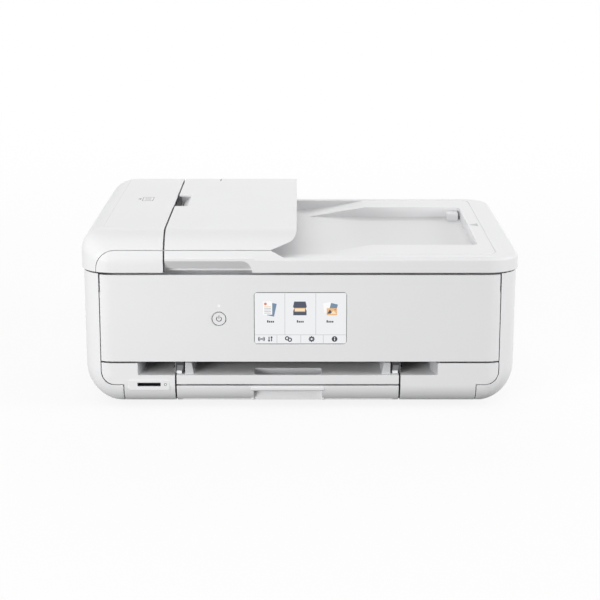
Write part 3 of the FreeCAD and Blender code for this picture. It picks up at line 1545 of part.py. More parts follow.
def make_lid():
    right_side = box("lid_right_side", ("tray_left", "far"), ("-far", "far"), ("0", "far"))
    shell = common("lid_right", cut("lid_shell", lid_form, lid_hollow), right_side)
    pan = common(
        "trough_pan", trough_solid("trough_outside", "wall", "lid_top - hairline"), lid_form, right_side)
    left_floor = box(
        "feeder_floor", ("-lid_half + wall * 2", "tray_left + wall"),
        ("lid_front + wall * 2", "lid_back - wall * 2"), ("lid_low", "lid_low + wall"))
    left_floor = common(
        "feeder_floor_cut",
        round_edges(
            "feeder_floor_round", left_floor, ("left front", "lid_corner - wall * 2"),
            ("left back", "lid_corner - wall * 2")),
        lid_form)
    strip = common("feeder_strip", feeder_skin, front_strip("strip_block", "0"))
    rest = prism(
        "strip_end", "XZ",
        [
            ("strip_right - overrun", "lid_top - wall"), ("strip_right - overrun", "strip_top"),
            ("strip_right", "strip_top"), ("strip_right + strip_slope", "lid_top - wall")],
        ("lid_front", "lid_front + wall * 2"))
    strip_end = common("strip_end_cut", rest, feeder_form)
    tie = box(
        "strip_tie", ("strip_left + strip_corner", "tray_left"),
        ("lid_front + wall / 2", "lid_front + wall * 3"), ("lid_low", "lid_low + wall"))
    back_strip = common(
        "feeder_back_strip", feeder_skin,
        box(
            "back_strip_block", ("tray_left", "strip_right"), ("lid_back - lid_corner", "far"),
            ("0", "strip_top")))
    recess_block = box(
        "recess_block", ("recess_left - wall", "recess_right + wall"),
        ("lid_front + hairline", "lid_front + recess_depth + wall"),
        ("lid_low", "lid_top - recess_roof"))
    stop = box(
        "document_stop", ("trough_right - stop_width", "trough_right - stop_gap"),
        ("trough_back - stop_width * 1.5", "trough_back + wall / 2"),
        ("trough_floor - wall / 2", "trough_floor + stop_height"))
    knuckles = []
    bores = []
    pockets = []
    for side, sign in (("left", -1), ("right", 1)):
        pockets.append(hinge_pocket(f"hinge_pocket_{side}", sign, "hinge_space"))
        knuckles.append(
            hinge_leaf(
                f"lid_leaf_{side}", 2, sign, ("hinge_y - hinge_ring - knuckle_reach", "hinge_y"),
                ("lid_low", "lid_top - wall / 2")))
        bores.append(hinge_bore(f"lid_leaf_bore_{side}", 2, sign, "pin_gap"))
    before, below, behind = "lid_front - overrun", "lid_low - overrun", "lid_front + recess_depth"
    recess_x = ("recess_left", "recess_right")
    slope = prism("recess_slope", "YZ", [
        (before, below), (before, "recess_top"), ("lid_front", "recess_top"),
        ("lid_front + recess_lean", "recess_line"), (behind, "recess_line"), (behind, below)], recess_x)
    outline = box("recess_outline", recess_x, (before, behind), (below, "recess_top"))
    recess = common(
        "finger_recess", slope,
        round_edges("recess_outline_round", outline, ("right top", "recess_corner")))
    groove = cut(
        "lid_groove", groove_block("groove_outside", "0"), groove_block("groove_inside", "groove_width"))
    seam_cut = box(
        "strip_seam", ("cover_right", "tray_left"), ("lid_front - overrun", "lid_front + wall + seam"),
        ("lid_low - overrun", "strip_top + overrun"))
    plain = fuse("lid_plain", shell, pan, left_floor, strip, strip_end, back_strip, tie, recess_block)
    opened = cut("lid_opened", plain, trough_solid("trough", "0", "far"), recess, groove, seam_cut, *pockets)
    node("cover_base", cut("cover_base", fuse("lid_all", opened, stop, *knuckles), *bores))

    liner = box(
        "liner_sheet", ("tray_left + wall * 2", "lid_half - lid_corner / 2"),
        ("lid_front + lid_corner / 2 + wall", "hinge_y - hinge_ring * 3"),
        ("lid_low", "lid_low + liner_thick"))
    node("cover_liner", liner)
    node(
        "pressure_pad",
        box("pressure_pad", both("pad_half_x"), both("pad_half_y"), ("scan_top + seat_gap", "lid_low")))


def make_feeder():
    left_side = box("feeder_left_side", ("-far", "cover_right"), ("-far", "far"), ("0", "far"))
    cover = cut(
        "feeder_cover", common("feeder_left", feeder_skin, left_side),
        front_strip("strip_clearance", "strip_gap"), hinge_pocket("cover_hinge_pocket", -1, "hinge_space"))
    node("feeder_cover", cover)

    flap_side = box("flap_side", ("tray_left", "far"), ("-far", "far"), ("strip_top + strip_gap", "far"))
    corner_cut = prism(
        "flap_corner", "XZ",
        [
            ("strip_right", "strip_top - overrun"), ("feeder_right + overrun", "strip_top - overrun"),
            ("feeder_right + overrun", "tray_cut_z"), ("strip_right", "strip_top + strip_gap")],
        both("far"))
    corner_round = cut(
        "flap_corner_round",
        box("flap_corner_block", ("flap_round_x", "far"), both("far"), ("0", "flap_round_z")),
        rod("flap_corner_rod", "y", "flap_round", both("far"),
            ("feeder_right - flap_round", "flap_round_z")))
    notch = box(
        "flap_notch", ("tray_left - overrun", "tray_left + notch_width"),
        ("notch_front", "notch_back"), ("bed_z + notch_floor", "far"))
    lugs = []
    lug_bores = []
    arms = []
    for side, sign in (("front", -1), ("back", 1)):
        lug_y = sided(sign, "flap_y - lug_inset - lug_width", "flap_y - lug_inset")
        arm_y = sided(sign, "flap_y - arm_width", "flap_y")
        pin_y = sided(sign, "flap_y - lug_inset - lug_width - overrun", "flap_y")
        lugs.append(
            box(
                f"flap_lug_{side}", about("flap_x", "flap_ring"), lug_y,
                ("flap_z - flap_ring", "total_height - wall / 2")))
        lug_bores.append(rod(f"flap_lug_bore_{side}", "y", "flap_pin + pin_gap", pin_y, ("flap_x", "flap_z")))
        arms.append(
            box(
                f"flap_arm_{side}", ("bed_right - post_width", "flap_x"), arm_y,
                about("flap_z", "flap_ring")))
        arms.append(rod(f"flap_eye_{side}", "y", "flap_ring", arm_y, ("flap_x", "flap_z")))
        arms.append(rod(f"flap_pin_{side}", "y", "flap_pin", pin_y, ("flap_x", "flap_z")))
        arms.append(
            box(
                f"flap_post_{side}", ("bed_right - post_width", "bed_right"), arm_y,
                ("bed_z - bed_thick", "flap_z")))
    flap = fuse("flap_all", common("flap_skin", feeder_skin, flap_side), *lugs)
    node("document_tray", cut("document_tray", flap, corner_cut, corner_round, notch, *lug_bores))

    riser_right = "feeder_seam_x - riser_gap"
    riser_left = f"{riser_right} - riser_thick"
    base = box(
        "feeder_base", ("frame_left", riser_right), both("bed_half"), ("lid_low + wall", "frame_top"))
    riser = box("feeder_riser", (riser_left, riser_right), both("bed_half"), ("lid_low + wall", "bed_z"))
    bed = box("feeder_bed", (riser_left, "bed_right"), both("bed_half"), ("bed_z - bed_thick", "bed_z"))
    plates = [
        box(
            f"roller_plate_{side}", ("frame_left", f"{riser_left} - riser_thick"),
            sided(sign, "roller_plate", "roller_plate + wall"),
            ("frame_top - overrun", "pick_z + roller_shaft * 2"))
        for side, sign in (("front", -1), ("back", 1))]
    exit_slot = box(
        "feeder_exit", ("frame_left + exit_margin", "feeder_seam_x"), both("exit_half"),
        ("exit_low", "exit_high"))
    cross = both("roller_plate + wall + overrun")
    bores = [rod("pick_bore", "y", "roller_shaft + pin_gap", cross, ("pick_x", "pick_z")),
             rod("drive_bore", "y", "roller_shaft + pin_gap", cross, ("drive_x", "drive_z"))]
    solid = cut("feeder_solid", fuse("feeder_raw", base, riser, bed, *plates), exit_slot, *bores)
    node("feeder_frame", fuse("feeder_frame", solid, *arms))

    for label, key, half in (
        ("feeder_pick_roller", "pick", "pick_half"),
        ("feeder_drive_roller", "drive", "roller_plate - drive_margin")):
        across = (f"{key}_x", f"{key}_z")
        axle = rod(label + "_axle", "y", "roller_shaft", both("roller_plate + wall"), across)
        tyre = rod(label + "_tyre", "y", f"{key}_radius", both(half), across)
        node(label, fuse(label, axle, tyre))
    for side, sign in (("front", -1), ("back", 1)):
        x = ("docguide_x", "docguide_x + docguide_length")
        fin = box(
            f"document_fin_{side}", x, sided(sign, "docguide_y", "docguide_y + wall"),
            ("bed_z + slide_gap", "docguide_top"))
        foot = box(
            f"document_foot_{side}", x,
            sided(sign, "docguide_y - docguide_foot", "docguide_y + wall / 2"),
            ("bed_z + slide_gap", "bed_z + slide_gap + docguide_plate"))
        node(f"document_guide_{side}", fuse(f"document_guide_{side}", fin, foot))


make_lid()
make_feeder()


def finish():
    doc.recompute()
    for piece in doc.Objects:
        if "Invalid" in piece.State or "Error" in piece.State:
            raise RuntimeError(f"{piece.Name} failed: {piece.State}")
    for piece in nodes:
        if piece.Shape.isNull() or not piece.Shape.isValid():
            raise RuntimeError(f"{piece.Label} has no valid shape")
    os.makedirs("parts", exist_ok=True)
    for piece in nodes:
        piece.Shape.exportStep(f"parts/{piece.Label}.step")
        print(piece.Label, len(piece.Shape.Solids), round(piece.Shape.Volume / 1000, 1))
    print(len(nodes), "nodes")


finish()
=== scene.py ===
# %% [markdown]
# # A white inkjet printer with a document feeder
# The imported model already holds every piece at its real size. This lesson gives those pieces the
# looks of the real object: edges that are a little round, plastics with their own grain, a lit
# touch screen, and the small repeated things that a moulding or a mechanism has.

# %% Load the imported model
import json
import math

import bmesh
import bpy
from mathutils import Matrix, Vector

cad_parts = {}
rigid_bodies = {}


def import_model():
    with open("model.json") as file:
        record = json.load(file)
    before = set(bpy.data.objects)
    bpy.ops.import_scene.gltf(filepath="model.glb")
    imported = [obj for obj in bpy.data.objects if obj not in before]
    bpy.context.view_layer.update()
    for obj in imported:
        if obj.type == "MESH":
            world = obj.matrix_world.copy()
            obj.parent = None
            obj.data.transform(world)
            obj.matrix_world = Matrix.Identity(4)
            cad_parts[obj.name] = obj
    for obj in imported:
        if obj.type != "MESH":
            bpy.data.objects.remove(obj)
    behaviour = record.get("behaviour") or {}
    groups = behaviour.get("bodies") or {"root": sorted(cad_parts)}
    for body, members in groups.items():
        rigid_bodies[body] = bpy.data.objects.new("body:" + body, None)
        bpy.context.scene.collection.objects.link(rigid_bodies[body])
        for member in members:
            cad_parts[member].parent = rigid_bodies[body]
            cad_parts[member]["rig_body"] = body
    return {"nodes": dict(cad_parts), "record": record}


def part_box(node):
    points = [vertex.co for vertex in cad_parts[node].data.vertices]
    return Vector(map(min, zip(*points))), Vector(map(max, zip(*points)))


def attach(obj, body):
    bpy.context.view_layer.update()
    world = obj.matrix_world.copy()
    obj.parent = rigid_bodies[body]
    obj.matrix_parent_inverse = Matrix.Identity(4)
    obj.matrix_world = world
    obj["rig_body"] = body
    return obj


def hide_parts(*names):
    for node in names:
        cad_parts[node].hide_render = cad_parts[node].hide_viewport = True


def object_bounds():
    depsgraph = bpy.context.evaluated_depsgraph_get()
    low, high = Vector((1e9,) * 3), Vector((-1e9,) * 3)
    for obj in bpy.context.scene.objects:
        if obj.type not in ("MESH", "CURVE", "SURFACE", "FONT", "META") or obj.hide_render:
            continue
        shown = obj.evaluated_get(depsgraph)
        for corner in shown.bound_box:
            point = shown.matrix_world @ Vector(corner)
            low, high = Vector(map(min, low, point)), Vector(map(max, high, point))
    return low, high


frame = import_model()
cad_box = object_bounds()
MM = 0.001
print("CAD box, mm:", [[round(value / MM, 1) for value in corner] for corner in cad_box])

# %% [markdown]
# ## Camera
# The photograph looks at the front of the printer, a little from above, through a long lens that
# hardly makes the back smaller. A long lens far away could be guessed by eye. Here its place,
# pitch and length were worked out from edges whose real sizes are known.

# %% Camera
CAMERA_PLACE = (0.0, -1.88513, 0.534996)
CAMERA_PITCH = math.radians(13.6707)
CAMERA_LENS = 99.118
CAMERA_SENSOR = 36.0
CAMERA_REACH = 50.0

lens = bpy.data.cameras.new("photo_lens")
lens.lens = CAMERA_LENS
lens.sensor_width = CAMERA_SENSOR
lens.clip_end = CAMERA_REACH
camera = bpy.data.objects.new("photo_camera", lens)
camera.location = CAMERA_PLACE
camera.rotation_euler = (math.pi / 2 - CAMERA_PITCH, 0.0, 0.0)
bpy.context.scene.collection.objects.link(camera)
bpy.context.scene.camera = camera
bpy.context.scene.view_settings.view_transform = "Standard"
print("camera", CAMERA_LENS, "mm lens,", round(math.degrees(CAMERA_PITCH), 1), "degrees down")

# %% [markdown]
# ## Writing finishes as sums
# A finish is a web of nodes, and a web is hard to read as code. It could be wired node by node.
# Here a Value wraps one socket instead, so that a plain Python sum on it adds the Math nodes.

# %% Values


class Value:
    """One output socket of a web, which takes part in Python sums."""

    def __init__(self, web, socket):
        self.web = web
        self.socket = socket

    def math(self, operation, *terms):
        """A Math node on terms, each of them a Value or a number."""
        return self.web.node("ShaderNodeMath", {"operation": operation}, dict(enumerate(terms)))

    def __add__(self, other):
        return self.math("ADD", self, other)

    def __radd__(self, other):
        return self.math("ADD", other, self)

    def __sub__(self, other):
        return self.math("SUBTRACT", self, other)

    def __rsub__(self, other):
        return self.math("SUBTRACT", other, self)

    def __mul__(self, other):
        return self.math("MULTIPLY", self, other)

    def __rmul__(self, other):
        return self.math("MULTIPLY", other, self)

    def __truediv__(self, other):
        return self.math("DIVIDE", self, other)

    def __rtruediv__(self, other):
        return self.math("DIVIDE", other, self)

    def __gt__(self, other):
        return self.math("GREATER_THAN", self, other)

    def __lt__(self, other):
        return self.math("LESS_THAN", self, other)

    def __abs__(self):
        return self.math("ABSOLUTE", self)


print("values take part in sums")

# %% [markdown]
# ## Webs of nodes
# Sums are not enough: a finish also needs noise, blends of colour and a shader. A Web holds a
# tree, and its one method adds any node: its type, its settings, then the values or links of its
# sockets.

# %% Webs


class Web:
    """A tree of nodes and the single method that adds to it."""

    def __init__(self, tree):
        self.tree = tree

    def socket(self, group, key):
        """A socket of a node, by its index, its identifier or its name."""
        if isinstance(key, int):
            return group[key]
        return next(item for item in group if key in (item.identifier, item.name))

    def node(self, kind, settings=None, sockets=None, output=0):
        """Add a node and give back one output, or a list of them for a tuple of keys."""
        made = self.tree.nodes.new(kind)
        for key, value in (settings or {}).items():
            setattr(made, key, value)
        for key, value in (sockets or {}).items():
            target = self.socket(made.inputs, key)
            if isinstance(value, Value):
                self.tree.links.new(value.socket, target)
            else:
                target.default_value = value
        if not made.outputs:
            return None
        if isinstance(output, tuple):
            return [Value(self, self.socket(made.outputs, key)) for key in output]
        return Value(self, self.socket(made.outputs, output))


print("webs can be built")

# %% [markdown]
# ## Finishes
# A Finish is the web of one material. It has short names for the nodes that most finishes share:
# the point on the surface, noise, a blend of two colours and bumps. Colours are written as a
# screen shows them, from 0 to 255, because that is how they are compared with a photograph.

# %% Finishes


class Finish(Web):
    """The web of one material, or of the room."""

    def __init__(self, name, owner=None):
        self.owner = owner or bpy.data.materials.new(name)
        self.owner.use_nodes = True
        super().__init__(self.owner.node_tree)
        self.tree.nodes.clear()

    def place(self):
        """The point on the surface, in the object's own coordinates."""
        return self.node("ShaderNodeTexCoord", output="Object")

    def stretched(self, scale):
        """The same point with each axis scaled, which draws a pattern out into lines."""
        return self.node("ShaderNodeMapping", {}, {"Vector": self.place(), "Scale": scale})

    def noise(self, where, scale, detail=2.0):
        """Noise from 0 to 1, with a number of cells to the metre."""
        sockets = {"Vector": where, "Scale": scale, "Detail": detail}
        return self.node("ShaderNodeTexNoise", {}, sockets, "Fac")

    def blend(self, share, first, second):
        """The first colour where the share is 0, and the second where it is 1."""
        sockets = {"Factor_Float": share, "A_Color": first, "B_Color": second}
        return self.node("ShaderNodeMix", {"data_type": "RGBA"}, sockets, "Result_Color")

    def bumps(self, height, depth):
        """A normal bent by a height from 0 to 1, where 1 stands for a depth in metres."""
        sockets = {"Height": height, "Strength": 1.0, "Distance": depth}
        return self.node("ShaderNodeBump", {}, sockets, "Normal")

    def surface(self, sockets):
        """Close the web with a Principled shader, and give back the material."""
        shader = self.node("ShaderNodeBsdfPrincipled", {}, sockets, "BSDF")
        self.node("ShaderNodeOutputMaterial", {}, {"Surface": shader})
        return self.owner


def tone(red, green, blue):
    """A linear colour from the 0 to 255 values that a screen shows."""
    steps = [value / 255.0 for value in (red, green, blue)]
    curve = [((step + 0.055) / 1.055) ** 2.4 if step > 0.04 else step / 12.92 for step in steps]
    return tuple(curve) + (1.0,)


print("finishes can be written as sums")

# %% [markdown]
# ## Moulded plastics
# The shells are white plastic from a finely etched mould. Up close it has a grain of a few tenths
# of a millimetre, and its gloss changes a little with that grain. The tone drifts slightly over a
# whole shell. A flat white would look like paper, so the grain drives both gloss and bump. In
# hollow places, such as the trough in the lid and the paper slot, shade is painted: their colour
# is a little greyer than the outside.

# %% Moulded plastic
CLOUD_SCALE, CLOUD_DETAIL = 7.0, 3.0
GRAIN_SCALE = 2600.0
GLOSS_SWING = 0.14
COARSE, ETCHED, POLISHED = 0.02 * MM, 0.012 * MM, 0.004 * MM


def painted_hollow_shade(finish, ramps):
    """A share of painted shade, 1 far inside a hollow and 0 outside it: a product of smooth ramps.

    A ramp runs from 0 to 1 between two places in millimetres along an axis or to either side, or
    between two amounts by which a face lies level, so that upright faces get more painted shade.
    """
    x, y, z = finish.node("ShaderNodeSeparateXYZ", {}, {"Vector": finish.place()}, ("X", "Y", "Z"))
    facing = finish.node("ShaderNodeTexCoord", output="Normal")
    level = finish.node("ShaderNodeSeparateXYZ", {}, {"Vector": facing}, "Z")
    measures = {"x": x / MM, "y": y / MM, "z": z / MM, "side": abs(x) / MM, "level": abs(level)}
    share = None
    for measure, start, stop in ramps:
        smooth = {"interpolation_type": "SMOOTHSTEP"}
        sockets = {"Value": measures[measure], "From Min": start, "From Max": stop}
        ramp = finish.node("ShaderNodeMapRange", smooth, sockets, "Result")
        share = ramp if share is None else ramp * share
    return share


def moulded(name, light, dark, roughness, depth=ETCHED, shade_tone=None, ramps=()):
    """Plastic with a slow drift of tone, a grain of some depth and, in a hollow, painted shade."""
    finish = Finish(name)
    place = finish.place()
    cloud = finish.noise(place, CLOUD_SCALE, CLOUD_DETAIL)
    grain = finish.noise(place, GRAIN_SCALE)
    colour = finish.blend(cloud, tone(*dark), tone(*light))
    if ramps:
        colour = finish.blend(painted_hollow_shade(finish, ramps), colour, tone(*shade_tone))
    return finish.surface({
        "Base Color": colour,
        "Roughness": roughness + (grain - 0.5) * GLOSS_SWING,
        "Normal": finish.bumps(grain, depth),
    })


print("plastics can be moulded")

# %% [markdown]
# ## The plastics of this printer
# All the shells share one white. Three of them get painted shade in a hollow, and their ramps say
# where it begins and ends. The other plastics are greys, some for printed marks and some that paint
# the shade on parts and places in the shade, a black, and a slightly yellow nylon for gears and
# pulleys.

# %% The plastics of this printer
WHITE = (237, 237, 238), (232, 232, 233)
SHELL_ROUGHNESS = 0.52
# Painted shade: the greyer tones of hollows, and the ramps that say where they fall.
TROUGH_SHADE_TONE, SLOT_SHADE_TONE = (224, 224, 225), (196, 197, 199)
TROUGH_SHADE_RAMPS = [
    ("x", 20.0, 95.0), ("x", 197.0, 190.0), ("y", -118.0, -108.0), ("y", 113.0, 104.0),
    ("z", 166.0, 158.0),
]
SLOT_SHADE_RAMPS = [("y", -181.0, -178.5), ("level", 0.9, 0.4)]
RECESS_SHADE_RAMPS = SLOT_SHADE_RAMPS + [("z", 35.5, 37.0), ("side", 185.0, 175.0)]

white_shell = moulded("white_shell", *WHITE, SHELL_ROUGHNESS)
# The lid, the output tray and the front bezels get painted shade in their hollows.
lid_shell = moulded("lid_shell", *WHITE, SHELL_ROUGHNESS, shade_tone=TROUGH_SHADE_TONE, ramps=TROUGH_SHADE_RAMPS)
tray_shell = moulded("tray_shell", *WHITE, SHELL_ROUGHNESS, shade_tone=SLOT_SHADE_TONE, ramps=SLOT_SHADE_RAMPS)
bezel_shell = moulded("bezel_shell", *WHITE, SHELL_ROUGHNESS, shade_tone=SLOT_SHADE_TONE, ramps=RECESS_SHADE_RAMPS)
white_gloss = moulded("white_gloss", (238, 238, 239), (234, 234, 235), 0.3, POLISHED)
grey_plastic = moulded("grey_plastic", (214, 215, 217), (204, 205, 208), 0.5)
# A painted shade grey for parts inside the paper slot.
slot_grey = moulded("slot_grey", (128, 129, 131), (112, 113, 115), 0.5)
dark_plastic = moulded("dark_plastic", (46, 47, 50), (36, 37, 39), 0.48, COARSE)
nylon = moulded("nylon", (236, 234, 226), (226, 223, 213), 0.38, 0.005 * MM)
sign_grey = moulded("sign_grey", (70, 72, 76), (60, 62, 66), 0.45, POLISHED)
mark_grey = moulded("mark_grey", (112, 114, 118), (98, 100, 104), 0.45, POLISHED)
# Painted shade of the small moulded triangle on the lid.
faint_grey = moulded("faint_grey", (186, 187, 189), (178, 179, 181), 0.5)
# A faint grey for the painted shade of the crease on the feeder's top.
crease_grey = moulded("crease_grey", (212, 212, 213), (206, 206, 207), 0.55)
tank_black = moulded("tank_black", (34, 34, 36), (26, 26, 28), 0.3, 0.006 * MM)
# A painted shade grey for the recess round the touch screen's glass.
screen_edge = moulded("screen_edge", (84, 85, 88), (74, 75, 78), 0.4, POLISHED)
print("plastics made:", len(bpy.data.materials))

# %% [markdown]
# ## Metals
# The chassis is zinc-coated sheet, whose coating freezes in patches of slightly different grey.
# The shafts are ground, with fine lines round the bar. A plain metal shader would look like
# chrome, so the patches and the lines change its gloss.

# %% Metals
PATCH_SCALE = 170.0
ROLLED_LINES = (30.0, 700.0, 700.0)
GROUND_LINES = (5200.0, 60.0, 60.0)


def zinc_sheet(name):
    """Steel sheet with the frozen patches of a zinc coat."""
    finish = Finish(name)
    sockets = {"Vector": finish.place(), "Scale": PATCH_SCALE}
    patch = finish.node("ShaderNodeTexVoronoi", {}, sockets, "Color")
    shade = finish.node("ShaderNodeRGBToBW", {}, {"Color": patch})
    streak = finish.noise(finish.stretched(ROLLED_LINES), scale=1.0, detail=3.0)
    return finish.surface({
        "Base Color": finish.blend(shade, tone(168, 171, 175), tone(198, 200, 203)),
        "Roughness": 0.3 + shade * 0.14 + streak * 0.1,
        "Normal": finish.bumps(streak, 0.004 * MM),
        "Metallic": 1.0,
    })


def ground_bar(name):
    """A ground steel bar along X, with fine lines round it."""
    finish = Finish(name)
    lines = finish.noise(finish.stretched(GROUND_LINES), scale=1.0)
    return finish.surface({
        "Base Color": finish.blend(lines, tone(176, 178, 182), tone(205, 206, 209)),
        "Roughness": 0.16 + lines * 0.16,
        "Normal": finish.bumps(lines, 0.003 * MM),
        "Metallic": 1.0,
    })


sheet_steel = zinc_sheet("sheet_steel")
ground_steel = ground_bar("ground_steel")
print("metals made:", sheet_steel.name, ground_steel.name)

# %% [markdown]
# ## Rubber, film and glass
# Rubber is dull and dusty. The pad under the lid is covered with a white film that shows very
# shallow dimples. The glass is clear with a faint haze of finger marks, which only shows in its
# gloss.

# %% Rubber, film and glass


def dusty_rubber(name):
    """Black rubber with a dull, slightly dusty face."""
    finish = Finish(name)
    place = finish.place()
    dust = finish.noise(place, scale=60.0, detail=4.0)
    pores = finish.noise(place, scale=3000.0)
    return finish.surface({
        "Base Color": finish.blend(dust, tone(34, 34, 35), tone(58, 58, 60)),
        "Roughness": 0.72 + (pores - 0.5) * 0.2,
        "Normal": finish.bumps(pores, 0.02 * MM),
    })


def film(name):
    """White film stretched over foam, with very shallow dimples."""
    finish = Finish(name)
    place = finish.place()
    dimple = finish.noise(place, scale=220.0)
    cloud = finish.noise(place, scale=11.0, detail=3.0)
    return finish.surface({
        "Base Color": finish.blend(cloud, tone(240, 240, 239), tone(246, 246, 245)),
        "Roughness": 0.34 + cloud * 0.1,
        "Normal": finish.bumps(dimple, 0.03 * MM),
    })


def clear_glass(name):
    """Clear glass whose gloss carries a faint haze."""
    finish = Finish(name)
    haze = finish.noise(finish.place(), scale=28.0, detail=4.0)
    return finish.surface({
        "Base Color": finish.blend(haze, tone(238, 246, 243), tone(246, 250, 248)),
        "Roughness": 0.02 + haze * 0.05,
        "Transmission Weight": 0.92,
        "IOR": 1.5,
    })


rubber = dusty_rubber("rubber")
pad_white = film("pad_white")
scanner_glass = clear_glass("scanner_glass")
print("rubber, film and glass made")

# %% [markdown]
# ## The circuit board
# The main board is green with fine lighter tracks, and dark chips rise above it. The chips are
# part of the same solid, so the finish tells them apart by height.

# %% The circuit board
BOARD_TOP = 13.8 * MM
TRACKS = {"Scale": 260.0, "Mortar Size": 0.06, "Mortar Smooth": 0.2}


def circuit_board(name):
    """Green solder mask with the lines of its tracks, and dark cases where chips rise above it."""
    finish = Finish(name)
    place = finish.place()
    height = finish.node("ShaderNodeSeparateXYZ", {}, {"Vector": place}, "Z")
    sockets = {"Vector": place, **TRACKS}
    tracks = finish.node("ShaderNodeTexBrick", {"offset": 0.5}, sockets, "Fac")
    cloud = finish.noise(place, scale=40.0, detail=3.0)
    mask = finish.blend(cloud, tone(28, 84, 50), tone(38, 102, 60))
    tracked = finish.blend(tracks, mask, tone(58, 128, 78))
    return finish.surface({
        "Base Color": finish.blend(height > BOARD_TOP, tracked, tone(38, 38, 40)),
        "Roughness": 0.32 + cloud * 0.12,
        "Normal": finish.bumps(tracks, 0.03 * MM),
    })


board_green = circuit_board("board_green")
print("board made:", board_green.name)

# %% [markdown]
# ## Light that the printer makes itself
# The touch screen and the small lamps shine. Their colours could be painted and left to the
# room's light. Here most of the colour goes into the emission, with a trace of the pixel grid, so
# that they look the same in any room.

# %% Lit finishes
LIT_SHARE = 0.8
GRID_SCALE = 5200.0
DIM_LIGHT, DIM_PAINT = 0.96, 0.9


def dimmed(colour, share):
    """A colour times a share, with its alpha left at 1."""
    return tuple(share * value for value in colour[:3]) + (1.0,)


def lit(name, colour):
    """A shining face: most of the colour is its own light, and the rest is what falls on it."""
    finish = Finish(name)
    grid = finish.noise(finish.place(), GRID_SCALE, detail=0.0)
    bright = dimmed(colour, LIT_SHARE)
    base = dimmed(colour, 1.0 - LIT_SHARE)
    return finish.surface({
        "Base Color": finish.blend(grid, base, dimmed(base, DIM_PAINT)),
        "Emission Color": finish.blend(grid, dimmed(bright, DIM_LIGHT), bright),
        "Emission Strength": 1.0,
        "Roughness": 0.16 + grid * 0.06,
    })


screen_face = lit("screen_face", tone(240, 241, 243))
screen_line = lit("screen_line", tone(182, 184, 189))
screen_white = lit("screen_white", tone(253, 253, 253))
screen_slate = lit("screen_slate", tone(72, 80, 98))
screen_ink = lit("screen_ink", tone(58, 62, 74))
screen_blue = lit("screen_blue", tone(116, 141, 166))
screen_orange = lit("screen_orange", tone(226, 128, 92))
screen_sand = lit("screen_sand", tone(236, 186, 128))
screen_cream = lit("screen_cream", tone(252, 232, 200))
light_lens = lit("light_lens", tone(250, 250, 250))
print("lit finishes made, materials so far:", len(bpy.data.materials))

# %% [markdown]
# ## Which finish each piece gets
# Every CAD node names a slot, and a slot stands for a finish. A few nodes get one of their own,
# such as the lid, whose trough gets painted shade, and the tray guides, in a painted shade grey.

# %% Finishes of slots and nodes
SLOT_FINISHES = {
    "white_shell": white_shell, "white_gloss": white_gloss, "dark_plastic": dark_plastic,
    "grey_plastic": grey_plastic, "sheet_steel": sheet_steel, "ground_steel": ground_steel,
    "rubber": rubber, "scanner_glass": scanner_glass, "screen_glass": screen_face,
    "pad_white": nylon, "ink_tank": tank_black, "board_green": board_green,
    "light_lens": light_lens,
}
NODE_FINISHES = {
    "tray_guides": slot_grey, "feeder_frame": white_shell, "cover_base": lid_shell,
    "output_tray": tray_shell, "front_bezel_left": bezel_shell, "front_bezel_right": bezel_shell,
}
node_slots = {row["node"]: row["material_slot"] for row in frame["record"]["subparts"]}
print("nodes with a slot:", len(node_slots))

# %% [markdown]
# ## Merged copies
# The CAD meshes are loose triangles, and a bevel needs a closed mesh without lines across its
# flat faces. So each node's triangles are copied, merged and cleaned. A finished mesh goes into
# an object that rides on a body, and it may stand for a CAD node.

# %% Copying and placing meshes
MERGE_DISTANCE = 0.0005 * MM
FLAT_ANGLE = math.radians(0.2)


def merged(node):
    """A CAD node's triangles as one closed mesh, without the lines across flat faces."""
    work = bmesh.new()
    work.from_mesh(frame["nodes"][node].data)
    bmesh.ops.remove_doubles(work, verts=work.verts, dist=MERGE_DISTANCE)
    bmesh.ops.dissolve_limit(work, angle_limit=FLAT_ANGLE, verts=work.verts, edges=work.edges)
    mesh = bpy.data.meshes.new(node + "_mesh")
    work.to_mesh(mesh)
    work.free()
    return mesh


def placed(name, mesh, body, slot, *replaced):
    """An object for a mesh, riding on a body and standing for CAD nodes if any are named."""
    piece = bpy.data.objects.new(name, mesh)
    bpy.context.scene.collection.objects.link(piece)
    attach(piece, body)
    if replaced:
        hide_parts(*replaced)
    return piece


def plain_mesh(piece):
    """The mesh of an object with its modifiers done, in place of the object."""
    bpy.context.view_layer.update()
    graph = bpy.context.evaluated_depsgraph_get()
    mesh = bpy.data.meshes.new_from_object(piece.evaluated_get(graph))
    bpy.data.objects.remove(piece)
    return mesh


print("CAD nodes to copy:", len(frame["nodes"]))

# %% [markdown]
# ## The rim of the trough
# The rim of the trough in the lid is much softer than the lid's other edges. One bevel has one
# width, so the rim is rounded first, on its own. Its edges are the ones between a level and an
# upright face.

# %% The rim of the trough
TROUGH_REGION = ((10.0 * MM, 196.0 * MM), (-117.0 * MM, 112.0 * MM), (155.5 * MM, 170.0 * MM))
RIM_ROUND, RIM_SEGMENTS = 2.0 * MM, 4
UPRIGHT, LEVEL = 0.1, 0.9
SLIVER = 0.02 * MM


def is_rim(edge):
    """Whether an edge lies between a level and an upright face of the trough or its stop."""
    if len(edge.link_faces) != 2 or not edge.is_convex:
        return False
    upright, level = sorted(abs(face.normal.z) for face in edge.link_faces)
    middle = (edge.verts[0].co + edge.verts[1].co) / 2.0
    inside = all(low < value < high for value, (low, high) in zip(middle, TROUGH_REGION))
    return inside and upright < UPRIGHT and level > LEVEL


